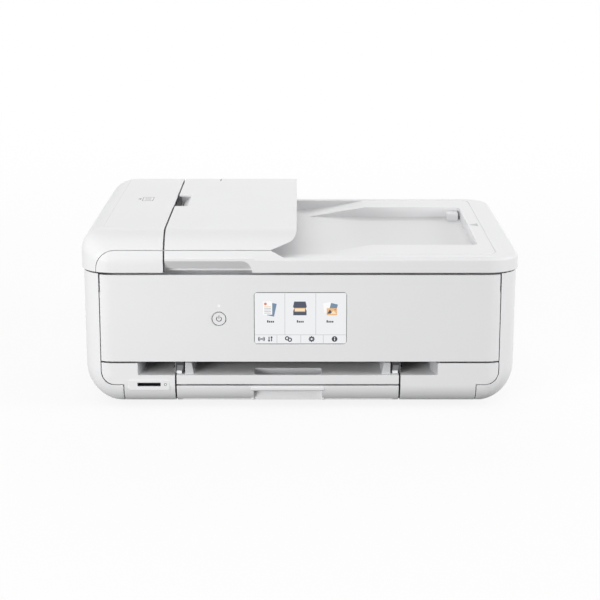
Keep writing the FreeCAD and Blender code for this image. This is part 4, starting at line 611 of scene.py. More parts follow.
def rounded_rim(mesh):
    """Round the rim of the trough in the lid's mesh, and drop the slivers that this leaves."""
    work = bmesh.new()
    work.from_mesh(mesh)
    rim = [edge for edge in work.edges if is_rim(edge)]
    bmesh.ops.bevel(
        work, geom=rim, offset=RIM_ROUND, segments=RIM_SEGMENTS, profile=0.5, affect="EDGES",
        clamp_overlap=True)
    bmesh.ops.dissolve_degenerate(work, dist=SLIVER, edges=work.edges)
    work.to_mesh(mesh)
    work.free()
    print("rim edges rounded:", len(rim))


print("trough region, mm:", [[round(end / MM, 1) for end in ends] for ends in TROUGH_REGION])

# %% [markdown]
# ## Softened shells
# A moulded shell never has a razor edge: its edges are rounded by a few tenths of a millimetre
# and catch a thin line of light. The round edges could be in the CAD, at the cost of many faces.
# A bevel on the merged copy does it here, and its points are kept inside the box of the CAD node.
# Where steps lie close together, as on the lid and the front bezels, the edge is finer.

# %% Softened copies of the CAD nodes
SHELL_EDGE, FINE_EDGE, EDGE_SEGMENTS = 0.35 * MM, 0.15 * MM, 2
EDGE_ANGLE, SMOOTH_ANGLE = math.radians(35.0), math.radians(30.0)
FLAT_WEIGHT = 90
EDGE_WIDTHS = {
    "outer_case": SHELL_EDGE, "panel_cover": SHELL_EDGE, "cassette": SHELL_EDGE,
    "output_tray": SHELL_EDGE, "feeder_cover": SHELL_EDGE, "document_tray": SHELL_EDGE,
    "rear_tray_cover": SHELL_EDGE, "bottom_plate": SHELL_EDGE,
    "cover_base": FINE_EDGE, "front_bezel_left": FINE_EDGE, "front_bezel_right": FINE_EDGE,
}


def kept_inside(mesh, low, high):
    """Bring the points that a bevel has pushed out of a box back onto its faces."""
    for point in mesh.vertices:
        ends = zip(point.co, low, high)
        point.co = [min(max(value, least), most) for value, least, most in ends]


def softened(node):
    """The merged copy of a node, bevelled, finished and standing for the node."""
    mesh = merged(node)
    axes = list(zip(*(point.co for point in mesh.vertices)))
    low, high = [min(axis) for axis in axes], [max(axis) for axis in axes]
    if node == "cover_base":
        rounded_rim(mesh)
    mesh.shade_smooth()
    rough = bpy.data.objects.new(node + "_rough", mesh)
    bpy.context.scene.collection.objects.link(rough)
    if node in EDGE_WIDTHS:
        bevel = rough.modifiers.new("edge", "BEVEL")
        bevel.width = EDGE_WIDTHS[node]
        bevel.segments = EDGE_SEGMENTS
        bevel.limit_method = "ANGLE"
        bevel.angle_limit = EDGE_ANGLE
        bevel.use_clamp_overlap = False
    else:
        mesh.set_sharp_from_angle(angle=SMOOTH_ANGLE)
    flat = rough.modifiers.new("flat", "WEIGHTED_NORMAL")
    flat.keep_sharp = True
    flat.weight = FLAT_WEIGHT
    mesh = plain_mesh(rough)
    kept_inside(mesh, low, high)
    slot = node_slots[node]
    mesh.materials.clear()
    mesh.materials.append(NODE_FINISHES.get(node, SLOT_FINISHES[slot]))
    return placed(node + "_soft", mesh, frame["nodes"][node]["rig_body"], slot, node)


soft_pieces = [softened(node) for node in sorted(frame["nodes"]) if node != "pressure_pad"]
print("softened copies:", len(soft_pieces))

# %% [markdown]
# ## The pressure pad
# Under the lid a foam pad in white film presses the sheet on the glass. A plain slab would look
# like cardboard. The pad is a grid whose lower face swells to its full depth within a few
# millimetres of its border, and its upper face lies flat under the lid.

# %% The pressure pad
PAD_CELLS = (60, 44)
PAD_SWELL = 9.0 * MM
PAD_BORDER = 0.35
PAD_SHARP = math.radians(60.0)


def in_order(work):
    """Sort faces by their points, because an extrusion leaves them in a chance order."""
    work.verts.index_update()
    count = len(work.verts)
    points = {face: sorted(point.index for point in face.verts) for face in work.faces}
    work.faces.sort(key=lambda face: points[face][0] * count + points[face][-1])


def crowned_pad(low, high):
    """A closed pad between two corners, flat on top and crowned below."""
    work = bmesh.new()
    half = (Vector(high) - Vector(low)) / 2.0
    middle = (Vector(high) + Vector(low)) / 2.0
    bmesh.ops.create_grid(work, x_segments=PAD_CELLS[0], y_segments=PAD_CELLS[1], size=1.0)
    lower = list(work.faces)
    for point in work.verts:
        x, y = point.co.x * half.x, point.co.y * half.y
        inward = min(half.x - abs(x), half.y - abs(y)) / PAD_SWELL
        swell = math.sqrt(1.0 - (1.0 - min(inward, 1.0)) ** 2)
        depth = (PAD_BORDER + (1.0 - PAD_BORDER) * swell) * 2.0 * half.z
        point.co = (middle.x + x, middle.y + y, high[2] - depth)
    upper = bmesh.ops.extrude_face_region(work, geom=lower, use_keep_orig=True)["geom"]
    for point in (item for item in upper if isinstance(item, bmesh.types.BMVert)):
        point.co.z = high[2]
    bmesh.ops.recalc_face_normals(work, faces=work.faces)
    in_order(work)
    mesh = bpy.data.meshes.new("pressure_pad_soft")
    work.to_mesh(mesh)
    work.free()
    mesh.shade_smooth()
    mesh.set_sharp_from_angle(angle=PAD_SHARP)
    mesh.materials.append(pad_white)
    return mesh


pad_mesh = crowned_pad(*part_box("pressure_pad"))
pad = placed("pressure_pad_soft", pad_mesh, "document_cover", "pad_white", "pressure_pad")
print("pad faces:", len(pad.data.polygons))

# %% [markdown]
# ## Outlines
# Printed marks, the signs on the screen and a few small blocks all start as a flat outline. These
# helpers give the points of arcs, discs, bands and rectangles, in millimetres.

# %% Outlines
ARC_STEP = math.radians(12.0)


def arc(centre, radius, start, stop):
    """Points round a centre, from one angle in degrees to another."""
    first, last = math.radians(start), math.radians(stop)
    steps = max(2, math.ceil(abs(last - first) / ARC_STEP))
    angles = [first + (last - first) * step / steps for step in range(steps + 1)]
    return [(centre[0] + radius * math.cos(a), centre[1] + radius * math.sin(a)) for a in angles]


def disc(centre, radius):
    """A full circle, whose first point isn't given twice."""
    return arc(centre, radius, 0.0, 360.0)[:-1]


def band(centre, outer, inner, start, stop):
    """A part of a ring, between two radii and two angles in degrees."""
    return arc(centre, outer, start, stop) + arc(centre, inner, stop, start)


def slab(low, high, radius=0.0):
    """A rectangle, with round corners where a radius is given."""
    if not radius:
        return [low, (high[0], low[1]), high, (low[0], high[1])]
    left, bottom = low[0] + radius, low[1] + radius
    right, top = high[0] - radius, high[1] - radius
    turns = [
        ((right, bottom), -90.0), ((right, top), 0.0), ((left, top), 90.0), ((left, bottom), 180.0),
    ]
    return [point for centre, start in turns for point in arc(centre, radius, start, start + 90.0)]


def turned(outline, centre, degrees):
    """An outline turned about a centre."""
    spin = Matrix.Rotation(math.radians(degrees), 2)
    middle = Vector(centre)
    return [tuple(middle + spin @ (Vector(point) - middle)) for point in outline]


print("points of a small disc:", len(disc((0.0, 0.0), 1.0)))

# %% [markdown]
# ## Thin inlays
# Printed marks and the signs on a lit screen are flat shapes on a face. They could be painted in
# the finish, but then their edges blur in the baked picture. Here each is a wafer a few
# hundredths of a millimetre thick, laid on the face, and every next wafer is a little higher than
# the one below.

# %% Inlays
WAFER, ROOT = 0.03 * MM, 0.05 * MM
ACROSS, FRONT_UP, TOP_UP = (1.0, 0.0, 0.0), (0.0, 0.0, 1.0), (0.0, 1.0, 0.0)


class Inlay:
    """Flat shapes on one face of a body, in millimetres across and up from an origin in metres."""

    def __init__(self, name, origin, across, up):
        self.name = name
        self.origin = Vector(origin)
        self.across = Vector(across)
        self.up = Vector(up)
        self.out = self.across.cross(self.up)
        self.work = bmesh.new()
        self.finishes = []
        self.level = 0

    def corners(self, outline, rise):
        """The points of an outline in the frame, raised from the face by a height in metres."""
        flat = [self.origin + self.across * x * MM + self.up * y * MM for x, y in outline]
        return [self.work.verts.new(point + self.out * rise) for point in flat]

    def paint(self, faces, finish):
        """Give faces a finish, which joins the list of the inlay's finishes when it is new."""
        if finish not in self.finishes:
            self.finishes.append(finish)
        for face in faces:
            face.material_index = self.finishes.index(finish)

    def walls(self, first, second):
        """The faces between two loops of as many points."""
        pairs = [(first[i - 1], first[i], second[i], second[i - 1]) for i in range(len(first))]
        return [self.work.faces.new(pair) for pair in pairs]

    def add(self, outline, finish):
        """One wafer over those laid before it."""
        self.level += 1
        low = self.corners(outline, -ROOT)
        high = self.corners(outline, WAFER * self.level)
        ends = [self.work.faces.new(high), self.work.faces.new(low[::-1])]
        self.paint(ends + self.walls(low, high), finish)

    def add_ring(self, outer, inner, finish):
        """A wafer with a hole, between two outlines of as many points."""
        self.level += 1
        loops = [self.corners(outer, -ROOT), self.corners(outer, WAFER * self.level)]
        loops += [self.corners(inner, WAFER * self.level), self.corners(inner, -ROOT)]
        for place, loop in enumerate(loops):
            self.paint(self.walls(loops[place - 1], loop), finish)

    def lay(self, body, slot):
        """Turn the wafers into one piece that rides on a body."""
        mesh = bpy.data.meshes.new(self.name)
        bmesh.ops.recalc_face_normals(self.work, faces=self.work.faces)
        self.work.to_mesh(mesh)
        self.work.free()
        for finish in self.finishes:
            mesh.materials.append(finish)
        return placed(self.name, mesh, body, slot)


def front_middle(low, high):
    """The middle of the front face of a box."""
    return ((low[0] + high[0]) / 2.0, low[1], (low[2] + high[2]) / 2.0)


print("a wafer is", round(WAFER / MM, 3), "mm thick")

# %% [markdown]
# ## The touch screen
# The screen shows three large tiles over a row of four small ones, with fine lines between them.
# A thin dark edge round the glass is painted shade where the glass sits in its recess. Under each
# large sign a row of small blocks is its caption.
# A picture of all this could be mapped on the glass, but flat shapes stay sharp at any distance.

# %% Lines, captions and edge of the screen
screen_low, screen_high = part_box("touch_screen")
screen_half = (screen_high[0] - screen_low[0]) / MM / 2.0
screen_rise = (screen_high[2] - screen_low[2]) / MM / 2.0
ROW_LINE, ROW_GAP = -18.2, 0.6
TILE_LINES, SMALL_LINES, UPRIGHT_GAP = (-16.6, 16.3), (-25.1, 0.3, 24.3), 1.0
LINE = 0.22
TILES, CAPTION = (-31.6, 0.0, 31.6), -3.8
CAPTION_BLOCKS, CAPTION_STEP, CAPTION_WIDE = 4, 1.95, 1.5
CAPTION_TALL, CAPTION_SHORT, CAPTION_CORNER = 1.7, 0.95, 0.25
EDGE_SHADE_OUT, EDGE_LINE, SCREEN_CORNER = 0.15, 0.5, 2.2

screen = Inlay("screen_signs", front_middle(screen_low, screen_high), ACROSS, FRONT_UP)
uprights = [(across, ROW_LINE, screen_rise - UPRIGHT_GAP) for across in TILE_LINES]
uprights += [(across, -screen_rise + UPRIGHT_GAP, ROW_LINE) for across in SMALL_LINES]
for across, low, high in uprights:
    screen.level = 0
    screen.add(slab((across - LINE, low), (across + LINE, high)), screen_line)
row_end = screen_half - ROW_GAP
screen.add(slab((-row_end, ROW_LINE - LINE), (row_end, ROW_LINE + LINE)), screen_line)
for across in TILES:
    for step in range(CAPTION_BLOCKS):
        left = across + (step - CAPTION_BLOCKS / 2.0) * CAPTION_STEP
        top = CAPTION + (CAPTION_TALL if step == 0 else CAPTION_SHORT)
        block = slab((left, CAPTION - CAPTION_SHORT), (left + CAPTION_WIDE, top), CAPTION_CORNER)
        screen.level = 0
        screen.add(block, screen_ink)
outer_half, outer_rise = screen_half + EDGE_SHADE_OUT, screen_rise + EDGE_SHADE_OUT
inner_half, inner_rise = screen_half - EDGE_LINE, screen_rise - EDGE_LINE
# A dark ring round the glass: painted shade of the recess that the glass sits in.
screen.add_ring(
    slab((-outer_half, -outer_rise), (outer_half, outer_rise), SCREEN_CORNER),
    slab((-inner_half, -inner_rise), (inner_half, inner_rise), SCREEN_CORNER), screen_edge)
print("screen, mm:", round(2.0 * screen_half, 1), "by", round(2.0 * screen_rise, 1))

# %% [markdown]
# ## Signs on the large tiles
# Each large tile has a plain sign of its own design: sheets for copying, a flat bed for scanning
# and pictures for printing. A sign is a list of outlines, each laid over the one before, and its
# numbers are millimetres from the middle of the sign.

# %% Signs on the large tiles
SIGN_LEVEL, SIGN_SCALE = 2, 1.14
TILE_SIGNS, TILE_SIGN = (-32.8, -0.6, 32.0), 10.4
PAPER_CORNER = 0.3
TEXT_LINES, TEXT_STEP = 5, 1.5


def draw(shapes, across, up):
    """Lay the outlines of one sign at their place on the screen, each over the one before."""
    screen.level = SIGN_LEVEL
    for outline, finish in shapes:
        place = [(across + SIGN_SCALE * x, up + SIGN_SCALE * y) for x, y in outline]
        screen.add(place, finish)


def copy_sign():
    """Two sheets, the front one with a dot and lines."""
    back = turned(slab((-1.2, -6.9), (5.6, 5.6), PAPER_CORNER), (2.0, 0.0), -12.0)
    front = slab((-6.2, -5.6), (2.4, 7.0), PAPER_CORNER)
    drops = [TEXT_STEP * line for line in range(TEXT_LINES)]
    lines = [slab((-5.0, 1.6 - drop), (1.2, 2.2 - drop)) for drop in drops]
    shapes = [(back, screen_blue), (front, screen_white), (disc((-3.9, 4.7), 1.35), screen_orange)]
    return shapes + [(lines[0], screen_sand)] + [(line, screen_line) for line in lines[1:]]


def scan_sign():
    """A flat bed with its lid and a bar of light between them."""
    lid = [(-6.4, 1.9), (-5.3, 7.0), (5.3, 7.0), (6.4, 1.9), (5.6, 0.8), (-5.6, 0.8)]
    bed = [(-6.2, -6.2), (6.2, -6.2), (6.2, -2.0), (5.2, 0.6), (-5.2, 0.6), (-6.2, -2.0)]
    halo = slab((-5.0, -2.8), (5.0, 0.9), PAPER_CORNER)
    bar = slab((-4.6, -2.0), (4.6, 0.2), PAPER_CORNER)
    return [(lid, screen_slate), (bed, screen_slate), (halo, screen_sand), (bar, screen_cream)]


def print_sign():
    """A white sheet and two picture cards, one with plain hills and a sun."""
    sheet = turned(slab((-6.4, -3.8), (0.8, 5.8), PAPER_CORNER), (-2.8, 1.0), 8.0)
    blue_card = turned(slab((-0.4, -1.2), (6.2, 5.0), PAPER_CORNER), (2.8, 2.0), -14.0)
    sand_card = slab((-3.6, -6.2), (6.0, 0.6), PAPER_CORNER)
    far_hill = [(-3.2, -4.6), (-0.6, -0.6), (2.0, -4.6)]
    near_hill = [(-0.2, -4.8), (2.8, -1.6), (5.6, -4.8)]
    sun = disc((4.3, -0.7), 0.7)
    return [
        (sheet, screen_white), (blue_card, screen_blue), (sand_card, screen_sand),
        (far_hill, screen_slate), (near_hill, screen_cream), (sun, screen_orange),
    ]


for sign, across in zip((copy_sign, scan_sign, print_sign), TILE_SIGNS):
    draw(sign(), across, TILE_SIGN)
print("large signs laid:", len(TILE_SIGNS))

# %% [markdown]
# ## Signs on the small tiles
# The row below has the usual small signs: waves, arrows, a link, a wheel and a help mark. They
# are all in one dark tone, and a sign with a round hole is made of two half rings, since an
# outline has no hole.

# %% Signs on the small tiles
SMALL_SIGNS, SMALL_SIGN = (-41.6, -32.2, -12.8, 11.9, 36.4), -22.8
MIDDLE = (0.0, 0.0)
HALF_RINGS = (0.0, 180.0)
WAVE_RADII, WAVE_HALF, WAVE_STARTS = (1.5, 2.8), 0.42, (-45.0, 135.0)
WHEEL_TEETH = 8


def wave_sign():
    """A dot with waves to both sides."""
    waves = [
        band(MIDDLE, radius + WAVE_HALF, radius - WAVE_HALF, start, start + 90.0)
        for radius in WAVE_RADII for start in WAVE_STARTS
    ]
    return [(outline, screen_ink) for outline in [disc(MIDDLE, 0.65)] + waves]


def arrow_sign():
    """One arrow down and one up."""
    outlines = []
    for side, way in ((-1.2, -1.0), (1.2, 1.0)):
        tip = [(side - 1.2, way * 1.2), (side + 1.2, way * 1.2), (side, way * 3.0)]
        outlines += [slab((side - 0.45, -2.2), (side + 0.45, 2.2)), tip[::int(way)]]
    return [(outline, screen_ink) for outline in outlines]


def link_sign():
    """Two rings of a chain, turned a little."""
    halves = [
        band((side, 0.0), 2.1, 1.05, start, start + 180.0)
        for side in (-1.4, 1.4) for start in HALF_RINGS
    ]
    return [(turned(outline, MIDDLE, -28.0), screen_ink) for outline in halves]


def wheel_sign():
    """A toothed wheel."""
    halves = [band(MIDDLE, 2.15, 0.95, start, start + 180.0) for start in HALF_RINGS]
    tooth = slab((-0.6, 1.9), (0.6, 2.85))
    teeth = [turned(tooth, MIDDLE, 360.0 / WHEEL_TEETH * place) for place in range(WHEEL_TEETH)]
    return [(outline, screen_ink) for outline in halves + teeth]


def help_sign():
    """A disc with a stroke and a dot."""
    stroke = slab((-0.35, -1.5), (0.35, 0.5))
    dot = disc((0.0, 1.3), 0.42)
    return [(disc(MIDDLE, 2.7), screen_ink), (stroke, screen_white), (dot, screen_white)]


small_signs = (wave_sign, arrow_sign, link_sign, wheel_sign, help_sign)
for sign, across in zip(small_signs, SMALL_SIGNS):
    draw(sign(), across, SMALL_SIGN)
screen.lay("front_panel", "screen_glass")
print("small signs laid:", len(small_signs))

# %% [markdown]
# ## The power button
# The button is a white disc with a thin dark rim and the usual sign: an open ring with a stroke.
# The small light over it has a flat white lens. Both are inlays on the faces that the CAD gives.

# %% The power button's sign and the status light
RIM_OUTSIDE, RIM_INSIDE = 0.1, 0.55
POWER_OUTER, POWER_INNER, POWER_START, POWER_STOP = 3.0, 2.25, 125.0, 415.0
STROKE_LOW, STROKE_HIGH, STROKE_CORNER = (-0.4, 0.4), (0.4, 3.6), 0.2
STATUS_RADIUS = 1.55

button_low, button_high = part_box("power_button")
button_radius = (button_high[0] - button_low[0]) / MM / 2.0
power = Inlay("power_sign", front_middle(button_low, button_high), ACROSS, FRONT_UP)
rim = [disc(MIDDLE, button_radius - inset) for inset in (RIM_OUTSIDE, RIM_INSIDE)]
power.add_ring(*rim, sign_grey)
power.add(band(MIDDLE, POWER_OUTER, POWER_INNER, POWER_START, POWER_STOP), sign_grey)
power.add(slab(STROKE_LOW, STROKE_HIGH, STROKE_CORNER), sign_grey)
power.lay("power_button", "white_gloss")

glow = Inlay("status_glow", front_middle(*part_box("status_light")), ACROSS, FRONT_UP)
glow.add(disc(MIDDLE, STATUS_RADIUS), light_lens)
glow.lay("front_panel", "light_lens")
print("power sign and status light laid, button", round(2.0 * button_radius, 1), "mm wide")

# %% [markdown]
# ## Marks on the feeder
# A fine crease runs round the flat top of the feeder, and its shade is painted as a faint grey
# line. A dark slit of painted shade marks the notch for the paper width, and a sign of a sheet
# with an arrow shows which way a sheet goes in. They could be cut into the solids, but they are
# too fine to matter there, so they are inlays.

# %% Marks on the feeder
feeder_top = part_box("feeder_cover")[1][2]
CREASE_X, CREASE_FRONT, CREASE_BACK = -210.8, -148.0, 160.0
CREASE_TURN, CREASE_END, CREASE_HALF = 5.0, -200.0, 0.16
SHEET_PLACE, SHEET_LINES, SHEET_STEP = (-179.0 * MM, 21.0 * MM), 3, 6.0
SLIT_PLACE, SLIT_LOW, SLIT_HIGH = (-98.6 * MM, 155.0 * MM), (-0.6, -7.5), (0.6, 7.5)

# A faint grey line of painted shade where the flat top turns into the rounded side.
crease = Inlay("feeder_crease_shade", (0.0, 0.0, feeder_top), ACROSS, TOP_UP)
bend = (CREASE_X + CREASE_TURN, CREASE_FRONT + CREASE_TURN)
outside, inside = CREASE_TURN + CREASE_HALF, CREASE_TURN - CREASE_HALF
side_line = slab((CREASE_X - CREASE_HALF, bend[1]), (CREASE_X + CREASE_HALF, CREASE_BACK))
front_line = slab((bend[0], CREASE_FRONT - CREASE_HALF), (CREASE_END, CREASE_FRONT + CREASE_HALF))
for outline in (side_line, band(bend, outside, inside, 180.0, 270.0), front_line):
    crease.add(outline, crease_grey)
crease.lay("feeder_cover", "white_shell")

sheet = Inlay("sheet_sign", (*SHEET_PLACE, feeder_top), ACROSS, TOP_UP)
sheet.add_ring(
    slab((-5.0, -12.0), (8.0, 12.0), 0.8), slab((-4.2, -10.6), (7.2, 10.6), 0.5), mark_grey)
for line in range(SHEET_LINES):
    rise = SHEET_STEP * line
    sheet.add(slab((-2.0, -6.6 + rise), (5.0, -5.4 + rise)), mark_grey)
sheet.add([(-10.4, 0.0), (-6.6, -4.4), (-6.6, 4.4)], mark_grey)
sheet.lay("feeder_cover", "white_shell")

# A dark bar of painted shade in the notch that marks the paper width.
slit = Inlay("width_slit_shade", (*SLIT_PLACE, feeder_top), ACROSS, TOP_UP)
slit.add(slab(SLIT_LOW, SLIT_HIGH), dark_plastic)
slit.lay("document_tray", "white_shell")
print("feeder marks laid at a height of", round(feeder_top / MM, 1), "mm")

# %% [markdown]
# ## Marks on the lid and the front
# A small triangle on the lid points at the stop in the trough; it is a faint grey inlay of painted
# shade for a small moulded triangle. The lamp beside the card slot is a grey ring with a white
# lens.

# %% Marks on the lid and the front
LID_TOP = 166.7 * MM
POINTER_PLACE, POINTER = (201.0 * MM, -2.0 * MM), [(-5.2, 0.0), (5.2, -8.5), (5.2, 8.5)]
LAMP_X, LAMP_Z, LAMP_RING, LAMP_LENS = -144.6 * MM, 27.4 * MM, 1.5, 0.85

# A flat faint grey triangle: painted shade of a small moulded triangle.
pointer = Inlay("stop_pointer_shade", (*POINTER_PLACE, LID_TOP), ACROSS, TOP_UP)
pointer.add(POINTER, faint_grey)
pointer.lay("document_cover", "white_shell")

card_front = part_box("front_bezel_left")[0][1]
card_lamp = Inlay("card_lamp", (LAMP_X, card_front, LAMP_Z), ACROSS, FRONT_UP)
card_lamp.add(disc(MIDDLE, LAMP_RING), mark_grey)
card_lamp.add(disc(MIDDLE, LAMP_LENS), light_lens)
card_lamp.lay("main_body", "light_lens")
print("pointer and card lamp laid")

# %% [markdown]
# ## The feeder's seam and the finger cup
# Two small places look deeper than the solids make them, so their shade is painted. The seam in
# the feeder's front strip gets a dark strip of painted shade, and the finger notch in the flap has
# a sloping cup under it, with a black strip of painted shade for the gap beside the feeder and
# grey end walls of painted shade.

# %% Seam and cup
EDGE_STEPS = 2


def prism(name, outline, span, finish, body, slot, edge=0.0):
    """A block with an outline across X and Z, drawn out along Y, all in millimetres."""
    work = bmesh.new()
    first, last = ([work.verts.new(Vector((x, y, z)) * MM) for x, z in outline] for y in span)
    work.faces.new(first)
    work.faces.new(last[::-1])
    for index in range(len(outline)):
        work.faces.new((first[index - 1], first[index], last[index], last[index - 1]))
    if edge:
        bmesh.ops.bevel(
            work, geom=work.edges[:], offset=edge * MM, segments=EDGE_STEPS, profile=0.5,
            affect="EDGES")
    bmesh.ops.recalc_face_normals(work, faces=work.faces)
    mesh = bpy.data.meshes.new(name)
    work.to_mesh(mesh)
    work.free()
    mesh.materials.append(finish)
    return placed(name, mesh, body, slot)


# A dark strip in the feeder's front seam: painted shade.
SEAM_SHADE, SEAM_SHADE_SPAN = slab((-144.9, 150.6), (-143.1, 173.4)), (-180.2, -179.4)
prism("feeder_seam_shade", SEAM_SHADE, SEAM_SHADE_SPAN, dark_plastic, "document_cover", "dark_plastic")

NOTCH_FRONT, NOTCH_BACK = NOTCH = (-24.0, 48.0)
CUP_PLATE = [(-139.6, 181.0), (-128.5, 189.4), (-128.5, 190.6), (-139.6, 182.2)]
CUP_WALL, CUP_THICK = [(-139.6, 182.2), (-128.5, 190.6), (-139.6, 190.6)], 1.2
GAP_LEFT, GAP_FRONT, GAP_BACK = 2.2, 6.4, 3.6
prism("finger_cup", CUP_PLATE, NOTCH, white_shell, "document_tray", "white_shell")
run, rise = (end - start for start, end in zip(*CUP_PLATE[:2]))
gap_start = (CUP_PLATE[3][0] * MM, 0.0, CUP_PLATE[3][1] * MM)
# A black strip at the low end of the cup: painted shade in the gap beside the feeder.
cup_gap = Inlay("finger_cup_gap_shade", gap_start, Vector((run, 0.0, rise)).normalized(), TOP_UP)
cup_gap.add([
    (GAP_LEFT, NOTCH_FRONT), (GAP_FRONT, NOTCH_FRONT),
    (GAP_BACK, NOTCH_BACK), (GAP_LEFT, NOTCH_BACK),
], tank_black)
cup_gap.lay("document_tray", "dark_plastic")
# The cup's end walls are white plastic in a grey of painted shade.
cup_walls = {
    "front": (NOTCH_FRONT - CUP_THICK, NOTCH_FRONT),
    "back": (NOTCH_BACK, NOTCH_BACK + CUP_THICK),
}
for side, span in cup_walls.items():
    prism(f"finger_cup_{side}", CUP_WALL, span, grey_plastic, "document_tray", "white_shell")
print("seam and cup made, notch", NOTCH_BACK - NOTCH_FRONT, "mm long")

# %% [markdown]
# ## The brackets beside the output tray
# Each bracket is painted dark above, as painted shade where the panel over the slot shades it.
# A grey plate that leans in front of it is drawn flat in a painted shade grey, and a small white
# catch sits below. The dark face and the plate are flat, so they are inlays. The catch stands out,
# so it is a block.

# %% Tray brackets
BRACKETS = {"left": (-133.0, -125.4), "right": (99.2, 106.8)}
SHADE_MARGIN, SHADE_LOW, SHADE_HIGH = 0.6, 38.2, 49.8
PLATE_LOW, PLATE_HIGH = 38.4, 46.8
CATCH_LOW, CATCH_HIGH, CATCH_EDGE = 38.0, 41.2, 0.4
guide_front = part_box("tray_guides")[0][1] / MM
catch_span = (guide_front - 1.8, guide_front + 0.4)

for side, (left, right) in BRACKETS.items():
    # Painted shade: a dark face under the panel, and a flat grey plate in the shade grey.
    face = Inlay(f"bracket_shade_{side}", (0.0, guide_front * MM, 0.0), ACROSS, FRONT_UP)
    face.add(slab((left - SHADE_MARGIN, SHADE_LOW), (right + SHADE_MARGIN, SHADE_HIGH)), dark_plastic)
    plate = [
        (left - 0.2, PLATE_LOW), (right - 1.4, PLATE_LOW), (right - 0.4, PLATE_HIGH),
        (left + 1.2, PLATE_HIGH),
    ]
    face.add(plate, slot_grey)
    face.lay("main_body", "grey_plastic")
    catch = slab((left + 0.2, CATCH_LOW), (right - 1.6, CATCH_HIGH))
    prism(
        f"bracket_catch_{side}", catch, catch_span, white_gloss, "main_body", "white_gloss",
        CATCH_EDGE)
print("brackets made:", len(BRACKETS))

# %% [markdown]
# ## Repeated things
# Belt teeth, the ribs of rubber tyres, screws and ruler marks are one small shape many times
# over. They could be copied in a loop. Geometry Nodes place such a shape by rule instead: on
# points along a line, round an axle or along a path. A Pattern is a web for that. Its sizes are
# named inputs, and it ends as one plain mesh.

# %% Patterns
INPUT_KINDS = {int: "NodeSocketInt", float: "NodeSocketFloat", tuple: "NodeSocketVector"}


class Pattern(Web):
    """A Geometry Nodes tree with named inputs, whose result becomes a plain mesh."""

    def __init__(self, name):
        super().__init__(bpy.data.node_groups.new(name, "GeometryNodeTree"))
        self.name = name
        self.tree.is_modifier = True
        self.tree.interface.new_socket("Mesh", in_out="OUTPUT", socket_type="NodeSocketGeometry")
        self.entry = self.tree.nodes.new("NodeGroupInput")
        self.values = {}

    def size(self, name, value):
        """A named input, and the value that the modifier gives it."""
        kind = INPUT_KINDS[type(value)]
        item = self.tree.interface.new_socket(name, in_out="INPUT", socket_type=kind)
        self.values[item.identifier] = value
        return Value(self, self.socket(self.entry.outputs, item.identifier))

    def moved(self, shape, place, turn=(0.0, 0.0, 0.0)):
        """A shape turned about the origin and then moved."""
        sockets = {"Geometry": shape, "Translation": place, "Rotation": turn}
        return self.node("GeometryNodeTransform", {}, sockets)

    def row(self, count, start, step):
        """Points in a line."""
        sockets = {"Count": count, "Start Location": start, "Offset": step}
        return self.node("GeometryNodeMeshLine", {"mode": "OFFSET"}, sockets)

    def repeated(self, points, shape, **others):
        """A shape on every point."""
        sockets = {"Points": points, "Instance": shape, **others}
        return self.node("GeometryNodeInstanceOnPoints", {}, sockets)

    def laid(self, shape, finish, body, slot):
        """Make the instances real, give them a finish and place the plain mesh on a body."""
        real = self.node("GeometryNodeRealizeInstances", {}, {"Geometry": shape})
        dressed = self.node("GeometryNodeSetMaterial", {}, {"Geometry": real, "Material": finish})
        self.node("NodeGroupOutput", {}, {0: dressed})
        holder = bpy.data.objects.new(self.name, bpy.data.meshes.new(self.name))
        bpy.context.scene.collection.objects.link(holder)
        modifier = holder.modifiers.new("pattern", "NODES")
        modifier.node_group = self.tree
        for identifier, value in self.values.items():
            modifier[identifier] = value
        mesh = plain_mesh(holder)
        mesh.materials.clear()
        mesh.materials.append(finish)
        mesh.polygons.foreach_set("material_index", [0] * len(mesh.polygons))
        placed(self.name, mesh, body, slot)
        print(self.name, "faces:", len(mesh.polygons))


print("patterns can be laid")

# %% [markdown]
# ## Teeth of the carriage belt
# The carriage is pulled by a toothed belt that runs round two pulleys. The band itself is a CAD
# node. Its teeth sit at even steps on a path inside it: a flat loop with round ends.

# %% Teeth of the carriage belt
belt_low, belt_high = (Vector(corner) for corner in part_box("carriage_belt"))
belt_middle = (belt_low + belt_high) / 2.0
belt_size = belt_high - belt_low
BELT_INSET = 0.95 * MM
TOOTH, TOOTH_COUNT = (0.4 * MM, belt_size.y, 1.0 * MM), 410
END_STEPS = 12
ONTO_EDGE = (math.pi / 2.0, 0.0, 0.0)

teeth = Pattern("belt_teeth")
path_length, path_height = belt_size.x - 2.0 * BELT_INSET, belt_size.z - 2.0 * BELT_INSET
path = teeth.node("GeometryNodeCurvePrimitiveQuadrilateral", {}, {
    "Width": teeth.size("Path length", path_length),
    "Height": teeth.size("Path height", path_height),
})
round_path = teeth.node("GeometryNodeFilletCurve", {"mode": "POLY"}, {
    "Curve": path, "Count": END_STEPS, "Radius": teeth.size("End radius", path_height / 2.0),
    "Limit Radius": True,
})
upright = teeth.node("GeometryNodeSetCurveNormal", {"mode": "Z_UP"}, {"Curve": round_path})
steps = {"Curve": upright, "Count": teeth.size("Teeth", TOOTH_COUNT)}
places, turns = teeth.node(
    "GeometryNodeCurveToPoints", {"mode": "COUNT"}, steps, ("Points", "Rotation"))
tooth = teeth.node("GeometryNodeMeshCube", {}, {"Size": teeth.size("Tooth", TOOTH)})
flat_teeth = teeth.repeated(places, tooth, Rotation=turns)
teeth.laid(teeth.moved(flat_teeth, tuple(belt_middle), ONTO_EDGE), rubber, "main_body", "rubber")

